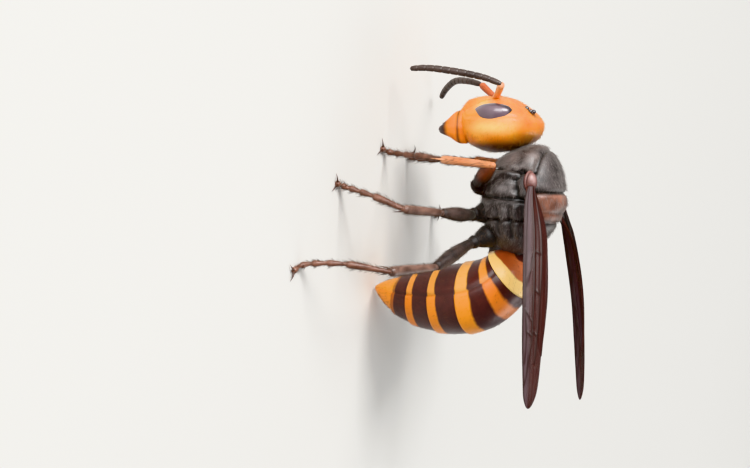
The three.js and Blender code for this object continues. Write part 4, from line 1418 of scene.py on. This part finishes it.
for side, turn in SIDES.items():
    scale = bmesh.new()
    bmesh.ops.create_uvsphere(scale, u_segments=48, v_segments=36, radius=1.0)
    # A thin rolled rim runs round the scale, and its hind end is pressed in over the wing root.
    sculpt(scale, lambda point: 0.08 * near(point.z, 0.12) - 0.07 * near(point.z - 0.26, 0.12))
    sculpt(scale, lambda point: -0.4 * near((point - Vector((0.2, 1.0, 0.5))).length, 0.5))
    # Painted shade in the groove and at the hind end, and a painted highlight on top.
    paint(scale, "dark", painted_scale_shade)
    paint(scale, "pale", painted_scale_highlight)
    lie = Matrix.Translation((3.8, -1.8, 2.65)) @ Matrix.Rotation(0.5, 4, "Y")
    bmesh.ops.transform(scale, matrix=lie @ Matrix.Diagonal((0.75, 1.1, 0.68, 1)), verts=scale.verts)
    hinge = Matrix.Translation((4.2, -0.85, 2.72)) @ Matrix.Diagonal((0.42, 0.5, 0.4, 1))
    bmesh.ops.create_uvsphere(scale, u_segments=24, v_segments=16, radius=1.0, matrix=hinge)
    finished(scale, "wing_scale_" + side, SCALE_CHITIN, STANCE @ turn, ["tegula_" + side])

# Studio
# A plain pale floor under soft light from the front and above, and the camera at the photograph's
# angle: the insect stands on the floor, and the camera is turned on its side to look at it.

# Matt painted board, an even warm white.
board = new_material("matt_painted_board")
shader = add_node(board, "BsdfPrincipled", {"Base Color": srgb("#d9d7d2"), "Roughness": 0.85})
add_node(board, "OutputMaterial", {"Surface": shader.outputs[0]})
floor_grid = bmesh.new()
bmesh.ops.create_grid(floor_grid, x_segments=2, y_segments=2, size=3.0)
floor_mesh = bpy.data.meshes.new("studio_floor")
floor_grid.to_mesh(floor_mesh)
floor_grid.free()
floor_mesh.materials.append(board)
studio_floor = bpy.data.objects.new("studio_floor", floor_mesh)
bpy.context.scene.collection.objects.link(studio_floor)

BODY_MIDDLE = Vector((0.0054, 0.002, 0.0015))


def soft_light(name, place, size, watts):
    """A large square lamp that faces the insect."""
    lamp = bpy.data.lights.new(name, "AREA")
    lamp.shape = "SQUARE"
    lamp.size = size
    lamp.energy = watts
    light = bpy.data.objects.new(name, lamp)
    light.location = place
    light.rotation_mode = "QUATERNION"
    light.rotation_quaternion = (BODY_MIDDLE - Vector(place)).to_track_quat("-Z", "Y")
    bpy.context.scene.collection.objects.link(light)


soft_light("key_softbox", (0.2, -0.34, 0.3), 0.22, 3.0)
soft_light("front_softbox", (0.37, -0.23, 0.12), 0.3, 1.8)
soft_light("back_softbox", (-0.3, 0.25, 0.3), 0.3, 0.8)
world = bpy.data.worlds.new("studio_air")
world.use_nodes = True
world.node_tree.nodes["Background"].inputs["Color"].default_value = srgb("#f2f4f7")
world.node_tree.nodes["Background"].inputs["Strength"].default_value = 0.5
bpy.context.scene.world = world
bpy.context.scene.view_settings.view_transform = "Khronos PBR Neutral"

# The way from the insect back to the camera, and the way to the right of the picture.
VIEW_BACK = Vector((0.927, -0.065, 0.369)).normalized()
ROUGHLY_RIGHT = Vector((-0.375, -0.161, 0.913))
VIEW_RIGHT = (ROUGHLY_RIGHT - VIEW_BACK * ROUGHLY_RIGHT.dot(VIEW_BACK)).normalized()
VIEW_UP = VIEW_BACK.cross(VIEW_RIGHT)
CAMERA_DISTANCE = 0.3
# What the middle of the picture shows, and the picture's width there.
AIM = Vector((5.424, 1.918, 1.470)) * MM
PICTURE_WIDTH = 0.0789
lens = bpy.data.cameras.new("camera")
lens.lens = lens.sensor_width * CAMERA_DISTANCE / PICTURE_WIDTH
lens.clip_start = 0.01
lens.clip_end = 10
camera = bpy.data.objects.new("camera", lens)
turned = Matrix((VIEW_RIGHT, VIEW_UP, VIEW_BACK)).transposed().to_4x4()
camera.matrix_world = Matrix.Translation(AIM + VIEW_BACK * CAMERA_DISTANCE) @ turned
bpy.context.scene.collection.objects.link(camera)
bpy.context.scene.camera = camera
